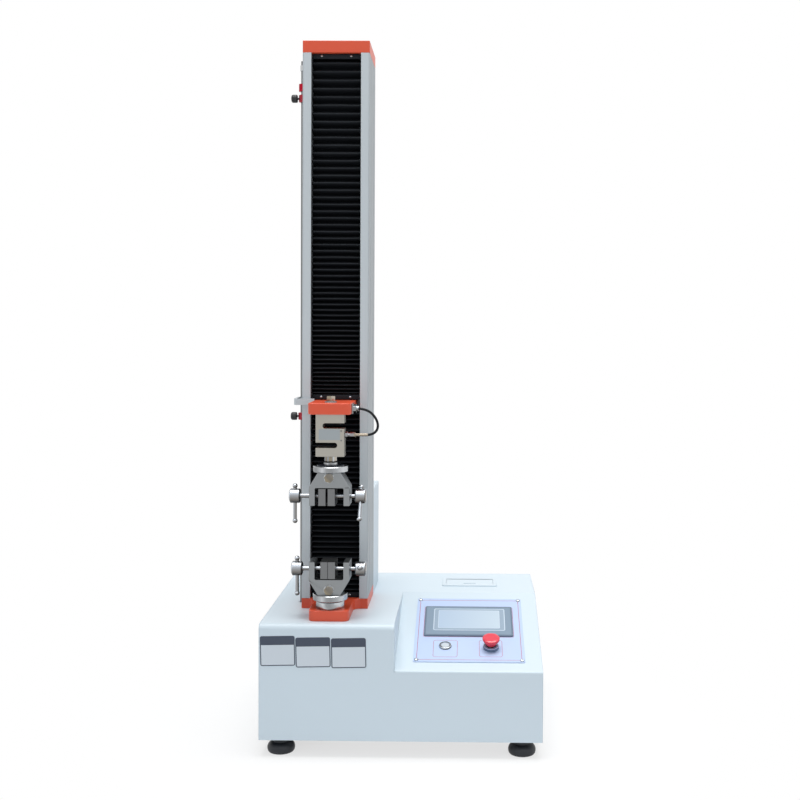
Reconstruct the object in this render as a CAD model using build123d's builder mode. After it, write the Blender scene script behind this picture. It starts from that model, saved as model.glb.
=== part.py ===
"""Single-column desktop tensile testing machine. Millimetres, +Z up, front at -Y, origin on the floor
under the middle of the base."""
from build123d import *
import math
import os

os.makedirs("parts", exist_ok=True)

# Base housing: folded sheet over a steel bottom plate, on four levelling feet
base_width = 500.0
base_depth = 426.0
base_height = 206.0
foot_height = 30.0
sheet = 2.0
bottom_plate_thickness = 6.0
front_round = 10.0
fold_round = 4.0
edge_break = 0.8
inlet_flange = 2.4

# Sloped console in the right part of the housing
console_width = 261.5
console_depth = 248.5
console_drop = 81.0

# Column: one open aluminium extrusion between an orange foot flange and an orange cap
column_shift = 0.75
column_setback = 113.0
column_width = 123.0
column_depth = 120.0
column_length = 1005.0
channel_width = 91.0
column_back_wall = 12.0
groove_width = 8.0
groove_depth = 3.0
flange_thickness = 19.0
cap_thickness = 22.0
nose_width = 72.0
nose_reach = 93.0

# Test axis and the stack that hangs on it, from the arm down
axis_reach = 65.0
arm_level = 368.0
arm_thickness = 20.0
arm_width = 76.0
arm_overhang = 27.0
cell_width = 51.0
cell_height = 76.0
cell_depth = 25.4
cell_slot = 9.4
adapter_neck_radius = 7.0
adapter_hex = 19.0
adapter_hex_height = 8.5
adapter_neck_height = 8.5
lock_ring_radius = 24.0
lock_ring_thickness = 1.5
upper_disc_thickness = 10.5
grip_disc_radius = 31.0

# The stack that stands on the nose
socket_radius = 24.6
socket_height = 12.5
socket_ring_height = 2.5
lower_disc_thickness = 11.0

# Vice grips
yoke_width = 72.0
yoke_root_width = 40.5
yoke_height = 59.0
yoke_depth = 42.0
yoke_leg = 10.5
yoke_window = 31.5
yoke_shoulder = 26.0
screw_from_tip = 15.0
screw_radius = 4.0
screw_reach = 34.3
screw_seat = 8.0
jaw_thickness = 13.2
jaw_height = 30.0
jaw_depth = 40.0
jaw_break = 0.6
serration = 1.1
serration_pitch = 2.5
serration_count = 15
knob_radius = 13.0
knob_length = 19.3
bar_radius = 3.25
bar_ball_radius = 4.5
bar_long_end = 45.0
pin_radius = 4.0
pin_height = 9.0
pin_head = 15.0
pin_head_height = 5.0
pin_end = 4.0
disc_break = 1.0
shank_radius = 8.0
shank_length = 20.0
upper_jaw_offset = -4.8
upper_jaw_gap = 3.4
lower_jaw_offset = -2.5
lower_jaw_gap = 0.1

# Drive
screw_spindle_radius = 8.0
spindle_journal_radius = 6.0
guide_rod_radius = 6.0
guide_rod_spacing = 60.0
spindle_setback = 68.0
bearing_radius = 14.0
bearing_height = 9.0
nut_radius = 14.0
nut_flange_radius = 21.0
nut_flange_thickness = 9.0
bushing_radius = 10.5
carriage_width = 87.0
carriage_depth = 60.0
carriage_height = 90.0
belt_pitch = 5.0
screw_pulley_teeth = 40
motor_pulley_teeth = 20
belt_width = 15.0
belt_thickness = 2.2
belt_clearance = 0.4
pulley_drop = 18.0
motor_setback = 176.0
motor_size = 86.0
motor_length = 118.0
motor_cover_depth = 119.0
motor_cover_height = 207.0

# Travel limits on a rod beside the column
limit_rod_radius = 3.0
limit_rod_gap = 7.5
limit_rod_setback = 52.0
stop_radius = 7.0
stop_height = 13.5
rod_stroke = 3.0
lower_stop_drop = 33.5
upper_stop_drop = 73.5
top_ring_drop = 53.5
stop_knob_radius = 7.5
stop_knob_length = 11.5
finger_height = 12.0
finger_thickness = 4.0

# Bellows over the open channel
bellows_width = 82.0
bellows_depth = 19.0
bellows_recess = 8.0
bellows_skin = 2.0
bellows_tab = 1.5
upper_fold_count = 55
lower_fold_count = 34
fold_spread = 0.606

# Fits
running = 0.05
seat = 0.3
press = 0.01
passing = 1.0
wide_passing = 4.0

# Levels and places worked out from the sizes above
front = -(base_depth + inlet_flange) / 2
back = front + base_depth
base_top = foot_height + base_height
flange_top = base_top + flange_thickness
column_top = flange_top + column_length
column_x = column_shift - console_width / 2
arm_top = flange_top + arm_level
column_front = front + column_setback
column_back = column_front + column_depth
axis_y = column_front - axis_reach
channel_back = column_back - column_back_wall
spindle_y = column_front + spindle_setback
console_left = base_width / 2 - console_width
slope_angle = math.degrees(math.atan2(console_drop, console_depth))
arm_bottom = arm_top - arm_thickness
cell_bottom = arm_bottom - cell_height
upper_disc_top = cell_bottom - adapter_hex_height - adapter_neck_height
upper_yoke_root = upper_disc_top - upper_disc_thickness
lower_yoke_root = flange_top + socket_height + socket_ring_height + lower_disc_thickness
bellows_front = column_front + bellows_recess
bellows_back = bellows_front + bellows_depth
carriage_front = bellows_back + 10.0
lower_stop_z = arm_top - lower_stop_drop
upper_stop_z = column_top - upper_stop_drop
top_ring_z = column_top - top_ring_drop
rod_x = column_x - column_width / 2 - limit_rod_gap
rod_y = column_front + limit_rod_setback
console_plane = Plane(
    origin=(0, front, base_top - console_drop),
    x_dir=(1, 0, 0),
    z_dir=(0, -math.sin(math.radians(slope_angle)), math.cos(math.radians(slope_angle))),
)


outwards = Axis(console_plane.origin, console_plane.z_dir)


def save(part, name):
    """Labels a finished piece and writes it."""
    part.label = name
    export_step(part, f"parts/{name}.step")


def console_point(x, up, out):
    """A point by its place on the console: across, up the slope and out from it."""
    return console_plane.from_local_coords(Vector(x, up, out))


def console_level(x, up, out):
    """A plane parallel to the console, with its origin at such a point."""
    return Plane(origin=console_point(x, up, out), x_dir=console_plane.x_dir, z_dir=console_plane.z_dir)


# Base housing
def housing_section(inset, with_console, start, length):
    """One stretch of the housing, extruded across from its side outline, pulled in for its inside."""
    corners = [(front, foot_height), (front, base_top), (back, base_top), (back, foot_height)]
    rounds = [0, front_round, fold_round, 0]
    if with_console:
        corners[1:2] = [(front, base_top - console_drop), (front + console_depth, base_top)]
        rounds = [0, fold_round, fold_round, fold_round, 0]
    with BuildPart() as section:
        with BuildSketch(Plane.YZ.offset(start)):
            with BuildLine():
                FilletPolyline(*corners, radius=rounds, close=True)
            make_face()
            if inset:
                offset(amount=-inset)
        extrude(amount=length)
    return section.part


plain_width = base_width - console_width
inner_width = base_width - 2 * sheet
outer_shell = [
    housing_section(0, False, -base_width / 2, plain_width),
    housing_section(0, True, console_left, console_width),
]
inner_shell = [
    housing_section(sheet, False, sheet - base_width / 2, plain_width - 2 * sheet),
    housing_section(sheet, True, console_left - sheet, console_width),
]

# Console fittings, placed from the console's left bottom corner
panel_width = 200.0
panel_height = 209.0
panel_x = console_left + console_width / 2 + 0.75
panel_up = 131.5
panel_thickness = 1.5
screen_width = 165.0
screen_height = 99.0
screen_up = 155.5
screen_x = panel_x - 1.2
screen_bezel = 2.5
screen_cutout = (152.0, 86.0)
display_width = 116.0
display_height = 56.0
power_x = panel_x - 43.5
power_up = 75.0
power_ring_radius = 11.0
power_barrel_radius = 9.5
power_cap_radius = 7.5
stop_x = panel_x + 39.5
stop_up = 71.0
stop_head_radius = 15.6
stop_stem_radius = 5.0
stop_collar_radius = 14.0
stop_neck_radius = 11.0
stop_underside = 12.0

# Printer in the top, behind the console
printer_forward = 3.25
printer_x = panel_x + 0.5
printer_y = front + (console_depth + base_depth) / 2 - printer_forward
printer_frame = (111.0, 65.0)
printer_body = (103.0, 57.0)
printer_depth = 48.0
printer_wall = 2.0
door_width = 95.0
door_front = printer_y - 22.0
door_back = printer_y + 21.5
door_thickness = 2.3
hinge_radius = 1.2

# Power inlet in the rear wall
inlet_x = base_width / 2 - 100.0
inlet_z = foot_height + 62.0
inlet_width = 34.0
inlet_height = 56.0
socket_width = 24.5
socket_tall = 17.0
socket_depth = 14.0
rocker_width = 19.0
rocker_tall = 13.0

# Motor place, and what passes through the housing's top
motor_x = column_x
motor_y = column_front + motor_setback
motor_window = motor_size + wide_passing
foot_inset_x = 35.0
foot_inset_y = 32.0
foot_places = [
    (x * (base_width / 2 - foot_inset_x), (front + back) / 2 + y * (base_depth / 2 - foot_inset_y))
    for x in (-1, 1)
    for y in (-1, 1)
]
stud_radius = 5.0
back_vent = (56.0, 5.0)
back_vent_pitch = (70.0, 14.0)
plate_vent = (90.0, 6.0)
plate_vent_pitch = 16.0

with BuildPart() as base_cover:
    add(outer_shell)
    add(inner_shell, mode=Mode.SUBTRACT)
    with BuildSketch(Plane.XY.offset(foot_height)):
        with Locations((0, (front + back) / 2)):
            Rectangle(inner_width, base_depth - 2 * sheet)
    extrude(amount=sheet, mode=Mode.SUBTRACT)
    with BuildSketch(Plane.XY.offset(base_top)):
        with Locations((column_x, spindle_y)):
            Circle(bearing_radius)
        with Locations((column_x, axis_y)):
            Circle(shank_radius + passing)
        with Locations((rod_x, rod_y)):
            Circle(limit_rod_radius + 2 * passing)
        with Locations((motor_x, motor_y)):
            Rectangle(motor_window, motor_window)
        with Locations((printer_x, printer_y)):
            Rectangle(printer_body[0] + passing, printer_body[1] + passing)
    extrude(amount=-2 * sheet, mode=Mode.SUBTRACT)
    with BuildSketch(console_plane):
        with Locations((screen_x, screen_up)):
            Rectangle(screen_cutout[0] + passing, screen_cutout[1] + passing)
        with Locations((power_x, power_up)):
            Circle(power_barrel_radius + running)
        with Locations((stop_x, stop_up)):
            Circle(stop_neck_radius)
    extrude(amount=-2 * sheet, mode=Mode.SUBTRACT)
    with BuildSketch(Plane.XZ.offset(-back)):
        with Locations((inlet_x, inlet_z)):
            Rectangle(inlet_width - wide_passing, inlet_height - wide_passing)
        with Locations((column_x + back_vent_pitch[0], inlet_z + 8.0)):
            with GridLocations(*back_vent_pitch, 3, 5):
                SlotOverall(*back_vent)
    extrude(amount=2 * sheet, mode=Mode.SUBTRACT)
    uprights = base_cover.edges().filter_by(Axis.Z)
    outer = uprights.filter_by(lambda e: abs(e.center().X) > base_width / 2 - 0.1)
    chamfer(outer, length=edge_break)
save(base_cover.part, "base_cover")

with BuildPart() as bottom_plate:
    with BuildSketch(Plane.XY.offset(foot_height)):
        with Locations((0, (front + back) / 2)):
            Rectangle(inner_width - 2 * seat, base_depth - 2 * sheet - 2 * seat)
            with GridLocations(0.32 * base_width, plate_vent_pitch, 2, 8):
                SlotOverall(*plate_vent, mode=Mode.SUBTRACT)
        with Locations(*foot_places):
            Circle(stud_radius + running, mode=Mode.SUBTRACT)
    extrude(amount=bottom_plate_thickness)
save(bottom_plate.part, "bottom_plate")

# Support frame: a welded channel that stands on the bottom plate and carries the column and the motor
frame_width = 116.0
frame_wall = 8.0
frame_margin = 24.0
frame_window = (80.0, 44.0)
frame_top = base_top - sheet
frame_back = motor_y + motor_size / 2 + wide_passing
frame_front = axis_y - frame_margin
floor_z = foot_height + bottom_plate_thickness
with BuildPart() as support_frame:
    with BuildSketch(Plane.XZ.offset(-frame_front)):
        with Locations((column_x, (floor_z + frame_top) / 2)):
            Rectangle(frame_width, frame_top - floor_z)
        with Locations((column_x, (floor_z + frame_top) / 2 - frame_wall - 2.0)):
            Rectangle(frame_width - 2 * frame_wall, frame_top - floor_z, mode=Mode.SUBTRACT)
    extrude(amount=frame_front - frame_back)
    with BuildSketch(Plane.XY.offset(frame_top)):
        with Locations((column_x, spindle_y)):
            Circle(spindle_journal_radius + wide_passing)
        with Locations((column_x, axis_y)):
            Circle(shank_radius + passing)
        with Locations((motor_x, motor_y)):
            Circle(spindle_journal_radius + wide_passing)
    extrude(amount=-3 * frame_wall, mode=Mode.SUBTRACT)
    with BuildSketch(Plane.YZ.offset(column_x)):
        with Locations(((frame_front + frame_back) / 2, floor_z + frame_window[0])):
            with GridLocations(2 * frame_window[0] - 60.0, 0, 3, 1):
                SlotOverall(*frame_window, rotation=90)
    extrude(amount=frame_width, both=True, mode=Mode.SUBTRACT)
save(support_frame.part, "support_frame")

# Foot flange with the nose that carries the lower grip
nose_round = 12.0
throat_round = 14.0
rod_seat = 10.0
with BuildPart() as foot_flange:
    with BuildSketch(Plane.XY.offset(base_top)):
        with BuildLine():
            half = column_width / 2
            nose = nose_width / 2
            tip = column_front - nose_reach
            FilletPolyline(
                (column_x - half, column_back),
                (column_x - half, column_front),
                (column_x - nose, column_front),
                (column_x - nose, tip),
                (column_x + nose, tip),
                (column_x + nose, column_front),
                (column_x + half, column_front),
                (column_x + half, column_back),
                radius=[0, 0, throat_round, nose_round, nose_round, throat_round, 0, 0],
                close=True,
            )
        make_face()
        with Locations((column_x, axis_y)):
            Circle(shank_radius + press, mode=Mode.SUBTRACT)
        with Locations((column_x, spindle_y)):
            Circle(spindle_journal_radius + wide_passing, mode=Mode.SUBTRACT)
    extrude(amount=flange_thickness)
    chamfer(foot_flange.faces().sort_by(Axis.Z)[-1].outer_wire().edges(), length=edge_break)
    with BuildSketch(Plane.XY.offset(flange_top)):
        with Locations((column_x, spindle_y)):
            Circle(bearing_radius + press)
    extrude(amount=-bearing_height, mode=Mode.SUBTRACT)
    with BuildSketch(Plane.XY.offset(flange_top)):
        with Locations((column_x, spindle_y)):
            with GridLocations(guide_rod_spacing, 0, 2, 1):
                Circle(guide_rod_radius + press)
    extrude(amount=-rod_seat, mode=Mode.SUBTRACT)
save(foot_flange.part, "foot_flange")

# Column extrusion: an open channel with grooved flanks, hollow walls and screw ports
front_strip = (column_width - channel_width) / 2
port_radius = 3.4
port_shares = (0.12, 0.88)
groove_shares = (0.27, 0.73)
wall_around_hollow = 3.5
lip_line = (3.0, 1.6)
with BuildPart() as column_profile:
    with BuildSketch(Plane.XY.offset(flange_top)):
        with Locations((column_x, (column_front + column_back) / 2)):
            Rectangle(column_width, column_depth)
        with Locations((column_x, (column_front + channel_back - passing) / 2)):
            Rectangle(channel_width, channel_back - column_front + passing, mode=Mode.SUBTRACT)
        for side in (-1, 1):
            flank = column_x + side * column_width / 2
            web = column_x + side * (channel_width + front_strip) / 2
            for share in groove_shares:
                with Locations((flank, column_front + share * column_depth)):
                    Rectangle(2 * groove_depth, groove_width, mode=Mode.SUBTRACT)
            for share in port_shares:
                with Locations((web, column_front + share * column_depth)):
                    Circle(port_radius, mode=Mode.SUBTRACT)
            with Locations((web + side * 0.5, column_front + column_depth / 2)):
                Rectangle(front_strip - 2 * wall_around_hollow, 0.3 * column_depth, mode=Mode.SUBTRACT)
            with Locations((flank, column_front)):
                Rectangle(*lip_line, mode=Mode.SUBTRACT)
    extrude(amount=column_length)
save(column_profile.part, "column_profile")

counterbore_radius = 5.5
counterbore_depth = 6.0
with BuildPart() as column_cap:
    with BuildSketch(Plane.XY.offset(column_top)):
        with Locations((column_x, (column_front + column_back) / 2)):
            Rectangle(column_width, column_depth)
    extrude(amount=cap_thickness)
    chamfer(column_cap.edges().group_by(Axis.Z)[-1], length=edge_break)
    with BuildSketch(Plane.XY.offset(column_top)):
        with Locations((column_x, spindle_y)):
            Circle(bearing_radius + press)
            with GridLocations(guide_rod_spacing, 0, 2, 1):
                Circle(guide_rod_radius + press)
    extrude(amount=rod_seat, mode=Mode.SUBTRACT)
    with BuildSketch(Plane.XY.offset(column_top + cap_thickness)):
        with Locations((column_x, (column_front + column_back) / 2)):
            with GridLocations(column_width - front_strip, 0.76 * column_depth, 2, 2):
                Circle(counterbore_radius)
    extrude(amount=-counterbore_depth, mode=Mode.SUBTRACT)
save(column_cap.part, "column_cap")

# Spindle drive inside the column
spindle_top = column_top + bearing_height
pulley_z = frame_top - frame_wall - 2.0 - pulley_drop
screw_pulley_radius = screw_pulley_teeth * belt_pitch / (2 * math.pi)
motor_pulley_radius = motor_pulley_teeth * belt_pitch / (2 * math.pi)
tooth_depth = 1.6
flange_lip = 2.2
lip_thickness = 1.5
belt_play = 1.0
shaft_end = 6.0
shaft_top = base_top + 2.0


def pulley(x, y, radius, teeth, bore):
    """A toothed belt pulley with two flanges, at the height of the belt."""
    low = pulley_z - belt_width / 2 - belt_play
    with BuildPart() as wheel:
        with BuildSketch(Plane.XY.offset(low)):
            with Locations((x, y)):
                Circle(radius)
                with PolarLocations(radius, teeth):
                    Rectangle(2 * tooth_depth, 0.45 * belt_pitch, mode=Mode.SUBTRACT)
                Circle(bore, mode=Mode.SUBTRACT)
        extrude(amount=belt_width + 2 * belt_play)
        for level in (low - lip_thickness, low + belt_width + 2 * belt_play):
            with BuildSketch(Plane.XY.offset(level)):
                with Locations((x, y)):
                    Circle(radius + flange_lip)
                    Circle(bore, mode=Mode.SUBTRACT)
            extrude(amount=lip_thickness)
    return wheel.part


with BuildPart() as ball_screw:
    with BuildSketch(Plane.XZ.offset(-spindle_y)):
        with BuildLine():
            low = pulley_z - belt_width / 2 - shaft_end
            Polyline(
                (column_x, low),
                (column_x + spindle_journal_radius, low),
                (column_x + spindle_journal_radius, flange_top + seat),
                (column_x + screw_spindle_radius, flange_top + seat + 2.0),
                (column_x + screw_spindle_radius, column_top - seat - 2.0),
                (column_x + spindle_journal_radius, column_top - seat),
                (column_x + spindle_journal_radius, spindle_top),
                (column_x, spindle_top),
                close=True,
            )
        make_face()
    revolve(axis=Axis((column_x, spindle_y, 0), (0, 0, 1)))
    add(pulley(column_x, spindle_y, screw_pulley_radius, screw_pulley_teeth, spindle_journal_radius - 1.0))
save(ball_screw.part, "ball_screw")

with BuildPart() as motor_pulley:
    with BuildSketch(Plane.XY.offset(pulley_z - belt_width / 2 - shaft_end)):
        with Locations((motor_x, motor_y)):
            Circle(spindle_journal_radius)
    extrude(amount=shaft_top - pulley_z + belt_width / 2 + shaft_end)
    add(pulley(motor_x, motor_y, motor_pulley_radius, motor_pulley_teeth, spindle_journal_radius - 1.0))
save(motor_pulley.part, "motor_pulley")

with BuildPart() as timing_belt:
    with BuildSketch(Plane.XY.offset(pulley_z - belt_width / 2)):
        for extra, mode in ((belt_clearance + belt_thickness, Mode.ADD), (belt_clearance, Mode.SUBTRACT)):
            with BuildSketch(mode=Mode.PRIVATE) as loop:
                with Locations((column_x, spindle_y)):
                    Circle(screw_pulley_radius + extra)
                with Locations((motor_x, motor_y)):
                    Circle(motor_pulley_radius + extra)
                make_hull()
            add(loop.sketch, mode=mode)
    extrude(amount=belt_width)
save(timing_belt.part, "timing_belt")

with BuildPart() as screw_bearings:
    for level in (flange_top - bearing_height, column_top):
        with BuildSketch(Plane.XY.offset(level)):
            with Locations((column_x, spindle_y)):
                Circle(bearing_radius)
                Circle(spindle_journal_radius + running, mode=Mode.SUBTRACT)
        extrude(amount=bearing_height)
save(screw_bearings.part, "screw_bearings")

with BuildPart() as guide_rods:
    with BuildSketch(Plane.XY.offset(flange_top - rod_seat)):
        with Locations((column_x, spindle_y)):
            with GridLocations(guide_rod_spacing, 0, 2, 1):
                Circle(guide_rod_radius)
    extrude(amount=column_length + 2 * rod_seat)
save(guide_rods.part, "guide_rods")

motor_base = base_top - sheet
motor_face = 10.0
motor_end = 16.0
motor_corner = 14.0
encoder_radius = 24.0
encoder_height = 28.0
with BuildPart() as drive_motor:
    with BuildSketch(Plane.XY.offset(motor_base)):
        with Locations((motor_x, motor_y)):
            RectangleRounded(motor_size, motor_size, fold_round)
    extrude(amount=motor_face)
    with BuildSketch(Plane.XY.offset(motor_base + motor_face)):
        with Locations((motor_x, motor_y)):
            RectangleRounded(motor_size - 4.0, motor_size - 4.0, motor_corner)
    extrude(amount=motor_length - motor_face - motor_end)
    with BuildSketch(Plane.XY.offset(motor_base + motor_length - motor_end)):
        with Locations((motor_x, motor_y)):
            RectangleRounded(motor_size, motor_size, fold_round)
    extrude(amount=motor_end)
    with BuildSketch(Plane.XY.offset(motor_base + motor_length)):
        with Locations((motor_x, motor_y)):
            Circle(encoder_radius)
    extrude(amount=encoder_height)
    with BuildSketch(Plane.XY.offset(motor_base)):
        with Locations((motor_x, motor_y)):
            Circle(spindle_journal_radius + running)
    extrude(amount=shaft_top - motor_base + 2.0, mode=Mode.SUBTRACT)
save(drive_motor.part, "drive_motor")

# Cover over the motor: a folded box, open below and towards the column, with louvres in its back
louvre = (70.0, 5.0)
louvre_pitch = 13.0
with BuildPart() as motor_cover:
    with BuildSketch(Plane.XY.offset(base_top)):
        with Locations((column_x, column_back + motor_cover_depth / 2)):
            Rectangle(column_width, motor_cover_depth)
    extrude(amount=motor_cover_height)
    rim = motor_cover.edges().group_by(Axis.Z)[-1].sort_by(Axis.Y)[1:]
    fillet(rim, radius=3.0)
    open_faces = [motor_cover.faces().sort_by(Axis.Z)[0], motor_cover.faces().sort_by(Axis.Y)[0]]
    offset(amount=-sheet, openings=open_faces)
    with BuildSketch(Plane.XZ.offset(-column_back - motor_cover_depth)):
        with Locations((column_x, base_top + motor_cover_height / 2)):
            with GridLocations(0, louvre_pitch, 1, 8):
                SlotOverall(*louvre)
    extrude(amount=2 * sheet, mode=Mode.SUBTRACT)
save(motor_cover.part, "motor_cover")

# Crosshead: a carriage on the two rods, its ball nut, and the arm that reaches out between the bellows
carriage_low = (arm_top + arm_bottom) / 2 - carriage_height / 2
bushing_length = 30.0
nut_length = 32.0
with BuildPart() as carriage:
    with BuildSketch(Plane.XY.offset(carriage_low)):
        with Locations((column_x, carriage_front + carriage_depth / 2)):
            RectangleRounded(carriage_width, carriage_depth, 3.0)
        with Locations((column_x, spindle_y)):
            Circle(nut_radius + press, mode=Mode.SUBTRACT)
            with GridLocations(guide_rod_spacing, 0, 2, 1):
                Circle(bushing_radius + press, mode=Mode.SUBTRACT)
    extrude(amount=carriage_height)
    for end in (carriage_low, carriage_low + carriage_height - bushing_length):
        with BuildSketch(Plane.XY.offset(end)):
            with Locations((column_x, spindle_y)):
                with GridLocations(guide_rod_spacing, 0, 2, 1):
                    Circle(bushing_radius)
                    Circle(guide_rod_radius + running, mode=Mode.SUBTRACT)
        extrude(amount=bushing_length)
save(carriage.part, "carriage")

with BuildPart() as ball_nut:
    with BuildSketch(Plane.XY.offset(carriage_low - nut_flange_thickness)):
        with Locations((column_x, spindle_y)):
            Circle(nut_flange_radius)
            with PolarLocations(nut_flange_radius - 4.0, 6, start_angle=30):
                Circle(1.7, mode=Mode.SUBTRACT)
    extrude(amount=nut_flange_thickness)
    with BuildSketch(Plane.XY.offset(carriage_low)):
        with Locations((column_x, spindle_y)):
            Circle(nut_radius)
    extrude(amount=nut_length)
    with BuildSketch(Plane.XY.offset(carriage_low - nut_flange_thickness)):
        with Locations((column_x, spindle_y)):
            Circle(screw_spindle_radius + running)
    extrude(amount=nut_flange_thickness + nut_length, mode=Mode.SUBTRACT)
save(ball_nut.part, "ball_nut")

arm_plate_thickness = 8.0
arm_front = axis_y - arm_overhang
bolt_radius = 5.0
bolt_head = 14.5
bolt_head_height = 9.5
washer_radius = 11.0
washer_thickness = 2.0
connector_z = arm_top - 10.5
arm_corner = 9.0
arm_break = 1.0
with BuildPart() as crosshead_arm:
    with BuildSketch(Plane.XY.offset(arm_bottom)):
        with BuildLine():
            half = arm_width / 2
            FilletPolyline(
                (column_x - half, carriage_front),
                (column_x - half, arm_front),
                (column_x + half, arm_front),
                (column_x + half, carriage_front),
                radius=[0, arm_corner, arm_corner, 0],
                close=True,
            )
        make_face()
        with Locations((column_x, axis_y)):
            Circle(bolt_radius + running, mode=Mode.SUBTRACT)
    extrude(amount=arm_thickness)
    rims = crosshead_arm.edges().filter_by(Plane.XY).filter_by(GeomType.CIRCLE, reverse=True)
    chamfer(rims.filter_by(lambda e: e.center().Y < carriage_front - 1.0), length=arm_break)
    with BuildSketch(Plane.XZ.offset(-carriage_front)):
        with Locations((column_x, (arm_top + arm_bottom) / 2)):
            RectangleRounded(arm_width, carriage_height - 20.0, 4.0)
    extrude(amount=arm_plate_thickness)
save(crosshead_arm.part, "crosshead_arm")

# Limit finger: a bar from the arm's flank, bent back beside the column, with an eye round the limit rod
finger_left = rod_x - stop_radius
finger_front = column_front - 4.5
finger_low = arm_top + 3.0 - finger_height
with BuildPart() as limit_finger:
    with BuildSketch(Plane.XY.offset(finger_low)):
        with BuildLine():
            FilletPolyline(
                (column_x - arm_width / 2, finger_front),
                (column_x - arm_width / 2, finger_front + finger_thickness),
                (finger_left + finger_thickness, finger_front + finger_thickness),
                (finger_left + finger_thickness, rod_y),
                (finger_left, rod_y),
                (finger_left, finger_front),
                radius=[0, 0, 2.0, 0, 0, 5.0],
                close=True,
            )
        make_face()
        with Locations((rod_x, rod_y)):
            Circle(stop_radius)
            Circle(limit_rod_radius + 1.0, mode=Mode.SUBTRACT)
    extrude(amount=finger_height)
save(limit_finger.part, "limit_finger")

# The bolt that hangs the load cell, with its washer
cell_thread = 12.0
cell_hole = cell_thread + 2.0
with BuildPart() as cell_bolt:
    with BuildSketch(Plane.XY.offset(arm_bottom - cell_thread)):
        with Locations((column_x, axis_y)):
            Circle(bolt_radius)
    extrude(amount=arm_thickness + cell_thread + washer_thickness)
    with BuildSketch(Plane.XY.offset(arm_top + washer_thickness)):
        with Locations((column_x, axis_y)):
            RegularPolygon(bolt_head / 2, 6, major_radius=False)
    extrude(amount=bolt_head_height)
    with BuildSketch(Plane.XY.offset(arm_top)):
        with Locations((column_x, axis_y)):
            Circle(washer_radius)
            Circle(bolt_radius + 0.2, mode=Mode.SUBTRACT)
    extrude(amount=washer_thickness)
save(cell_bolt.part, "cell_bolt")

# S-shaped load cell: a block with one slot from each side
slot_reach = 38.5
upper_slot_z = cell_bottom + 55.0
lower_slot_z = cell_bottom + 20.3
with BuildPart() as load_cell:
    with BuildSketch(Plane.XZ.offset(-axis_y + cell_depth / 2)):
        with Locations((column_x, cell_bottom + cell_height / 2)):
            Rectangle(cell_width, cell_height)
        for side, level in ((1, upper_slot_z), (-1, lower_slot_z)):
            mouth = column_x + side * (cell_width / 2 + 10.0)
            with Locations((mouth - side * (slot_reach + 10.0) / 2, level)):
                SlotOverall(slot_reach + 10.0, cell_slot, mode=Mode.SUBTRACT)
    extrude(amount=-cell_depth)
    chamfer(load_cell.edges().filter_by(Axis.Z), length=0.5)
    with BuildSketch(Plane.XY.offset(cell_bottom + cell_height)):
        with Locations((column_x, axis_y)):
            Circle(bolt_radius + press)
    extrude(amount=-cell_hole, mode=Mode.SUBTRACT)
    with BuildSketch(Plane.XY.offset(cell_bottom)):
        with Locations((column_x, axis_y)):
            Circle(bolt_radius + press)
    extrude(amount=cell_hole, mode=Mode.SUBTRACT)
save(load_cell.part, "load_cell")

# Connector on the arm, and the gland with its spring sleeve on the load cell
cable_radius = 2.25
gland_z = cell_bottom + 38.5
gland_length = 19.0
sleeve_length = 22.0
connector_stages = ((0, 9.0, 2.5, 4), (2.5, 7.0, 5.5, 6), (8.0, 5.0, 4.0, 0))
gland_stages = (
    (0, 5.2, 5.0, 6),
    (5.0, 4.0, 4.0, 0),
    (9.0, 4.4, gland_length - 9.0, 6),
    (gland_length, 2.8, sleeve_length, 0),
)
with BuildPart() as cable_fittings:
    for x, z, stages in (
        (column_x + arm_width / 2, connector_z, connector_stages),
        (column_x + cell_width / 2, gland_z, gland_stages),
    ):
        for start, radius, length, sides in stages:
            with BuildSketch(Plane.YZ.offset(x + start)):
                with Locations((axis_y, z)):
                    if sides:
                        RegularPolygon(radius, sides, major_radius=False, rotation=180 / sides)
                    else:
                        Circle(radius)
            extrude(amount=length)
save(cable_fittings.part, "cable_fittings")

# The lead between them, as places across from the column's middle and down from the arm's top
cable_places = (
    (48.0, 10.4),
    (61.5, 11.5),
    (75.5, 20.0),
    (84.5, 35.0),
    (84.0, 48.5),
    (74.5, 57.1),
    (63.0, 58.0),
)
cable_points = [(column_x + across, axis_y, arm_top - down) for across, down in cable_places]


def route_radii(points):
    """The arc at each corner of a cord's route, as large as its two runs allow."""
    radii = []
    for before, corner, after in zip(points, points[1:], points[2:]):
        run_in = Vector(*corner) - Vector(*before)
        run_out = Vector(*after) - Vector(*corner)
        turn = math.radians(run_in.get_angle(run_out))
        radii.append(0.45 * min(run_in.length, run_out.length) / math.tan(turn / 2))
    return radii


cable_radii = route_radii(cable_points)
with BuildPart() as load_cell_cable:
    with BuildLine():
        route = FilletPolyline(*cable_points, radius=cable_radii)
    with BuildSketch(Plane(origin=route @ 0, z_dir=route % 0)):
        Circle(cable_radius)
    sweep()
save(load_cell_cable.part, "load_cell_cable")
tube = math.pi * cable_radius ** 2 * route.length
print("cable length", round(route.length, 1), "radii", [round(r, 1) for r in cable_radii])
print("cable volume", round(load_cell_cable.part.volume, 1), "section times length", round(tube, 1))


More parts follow.
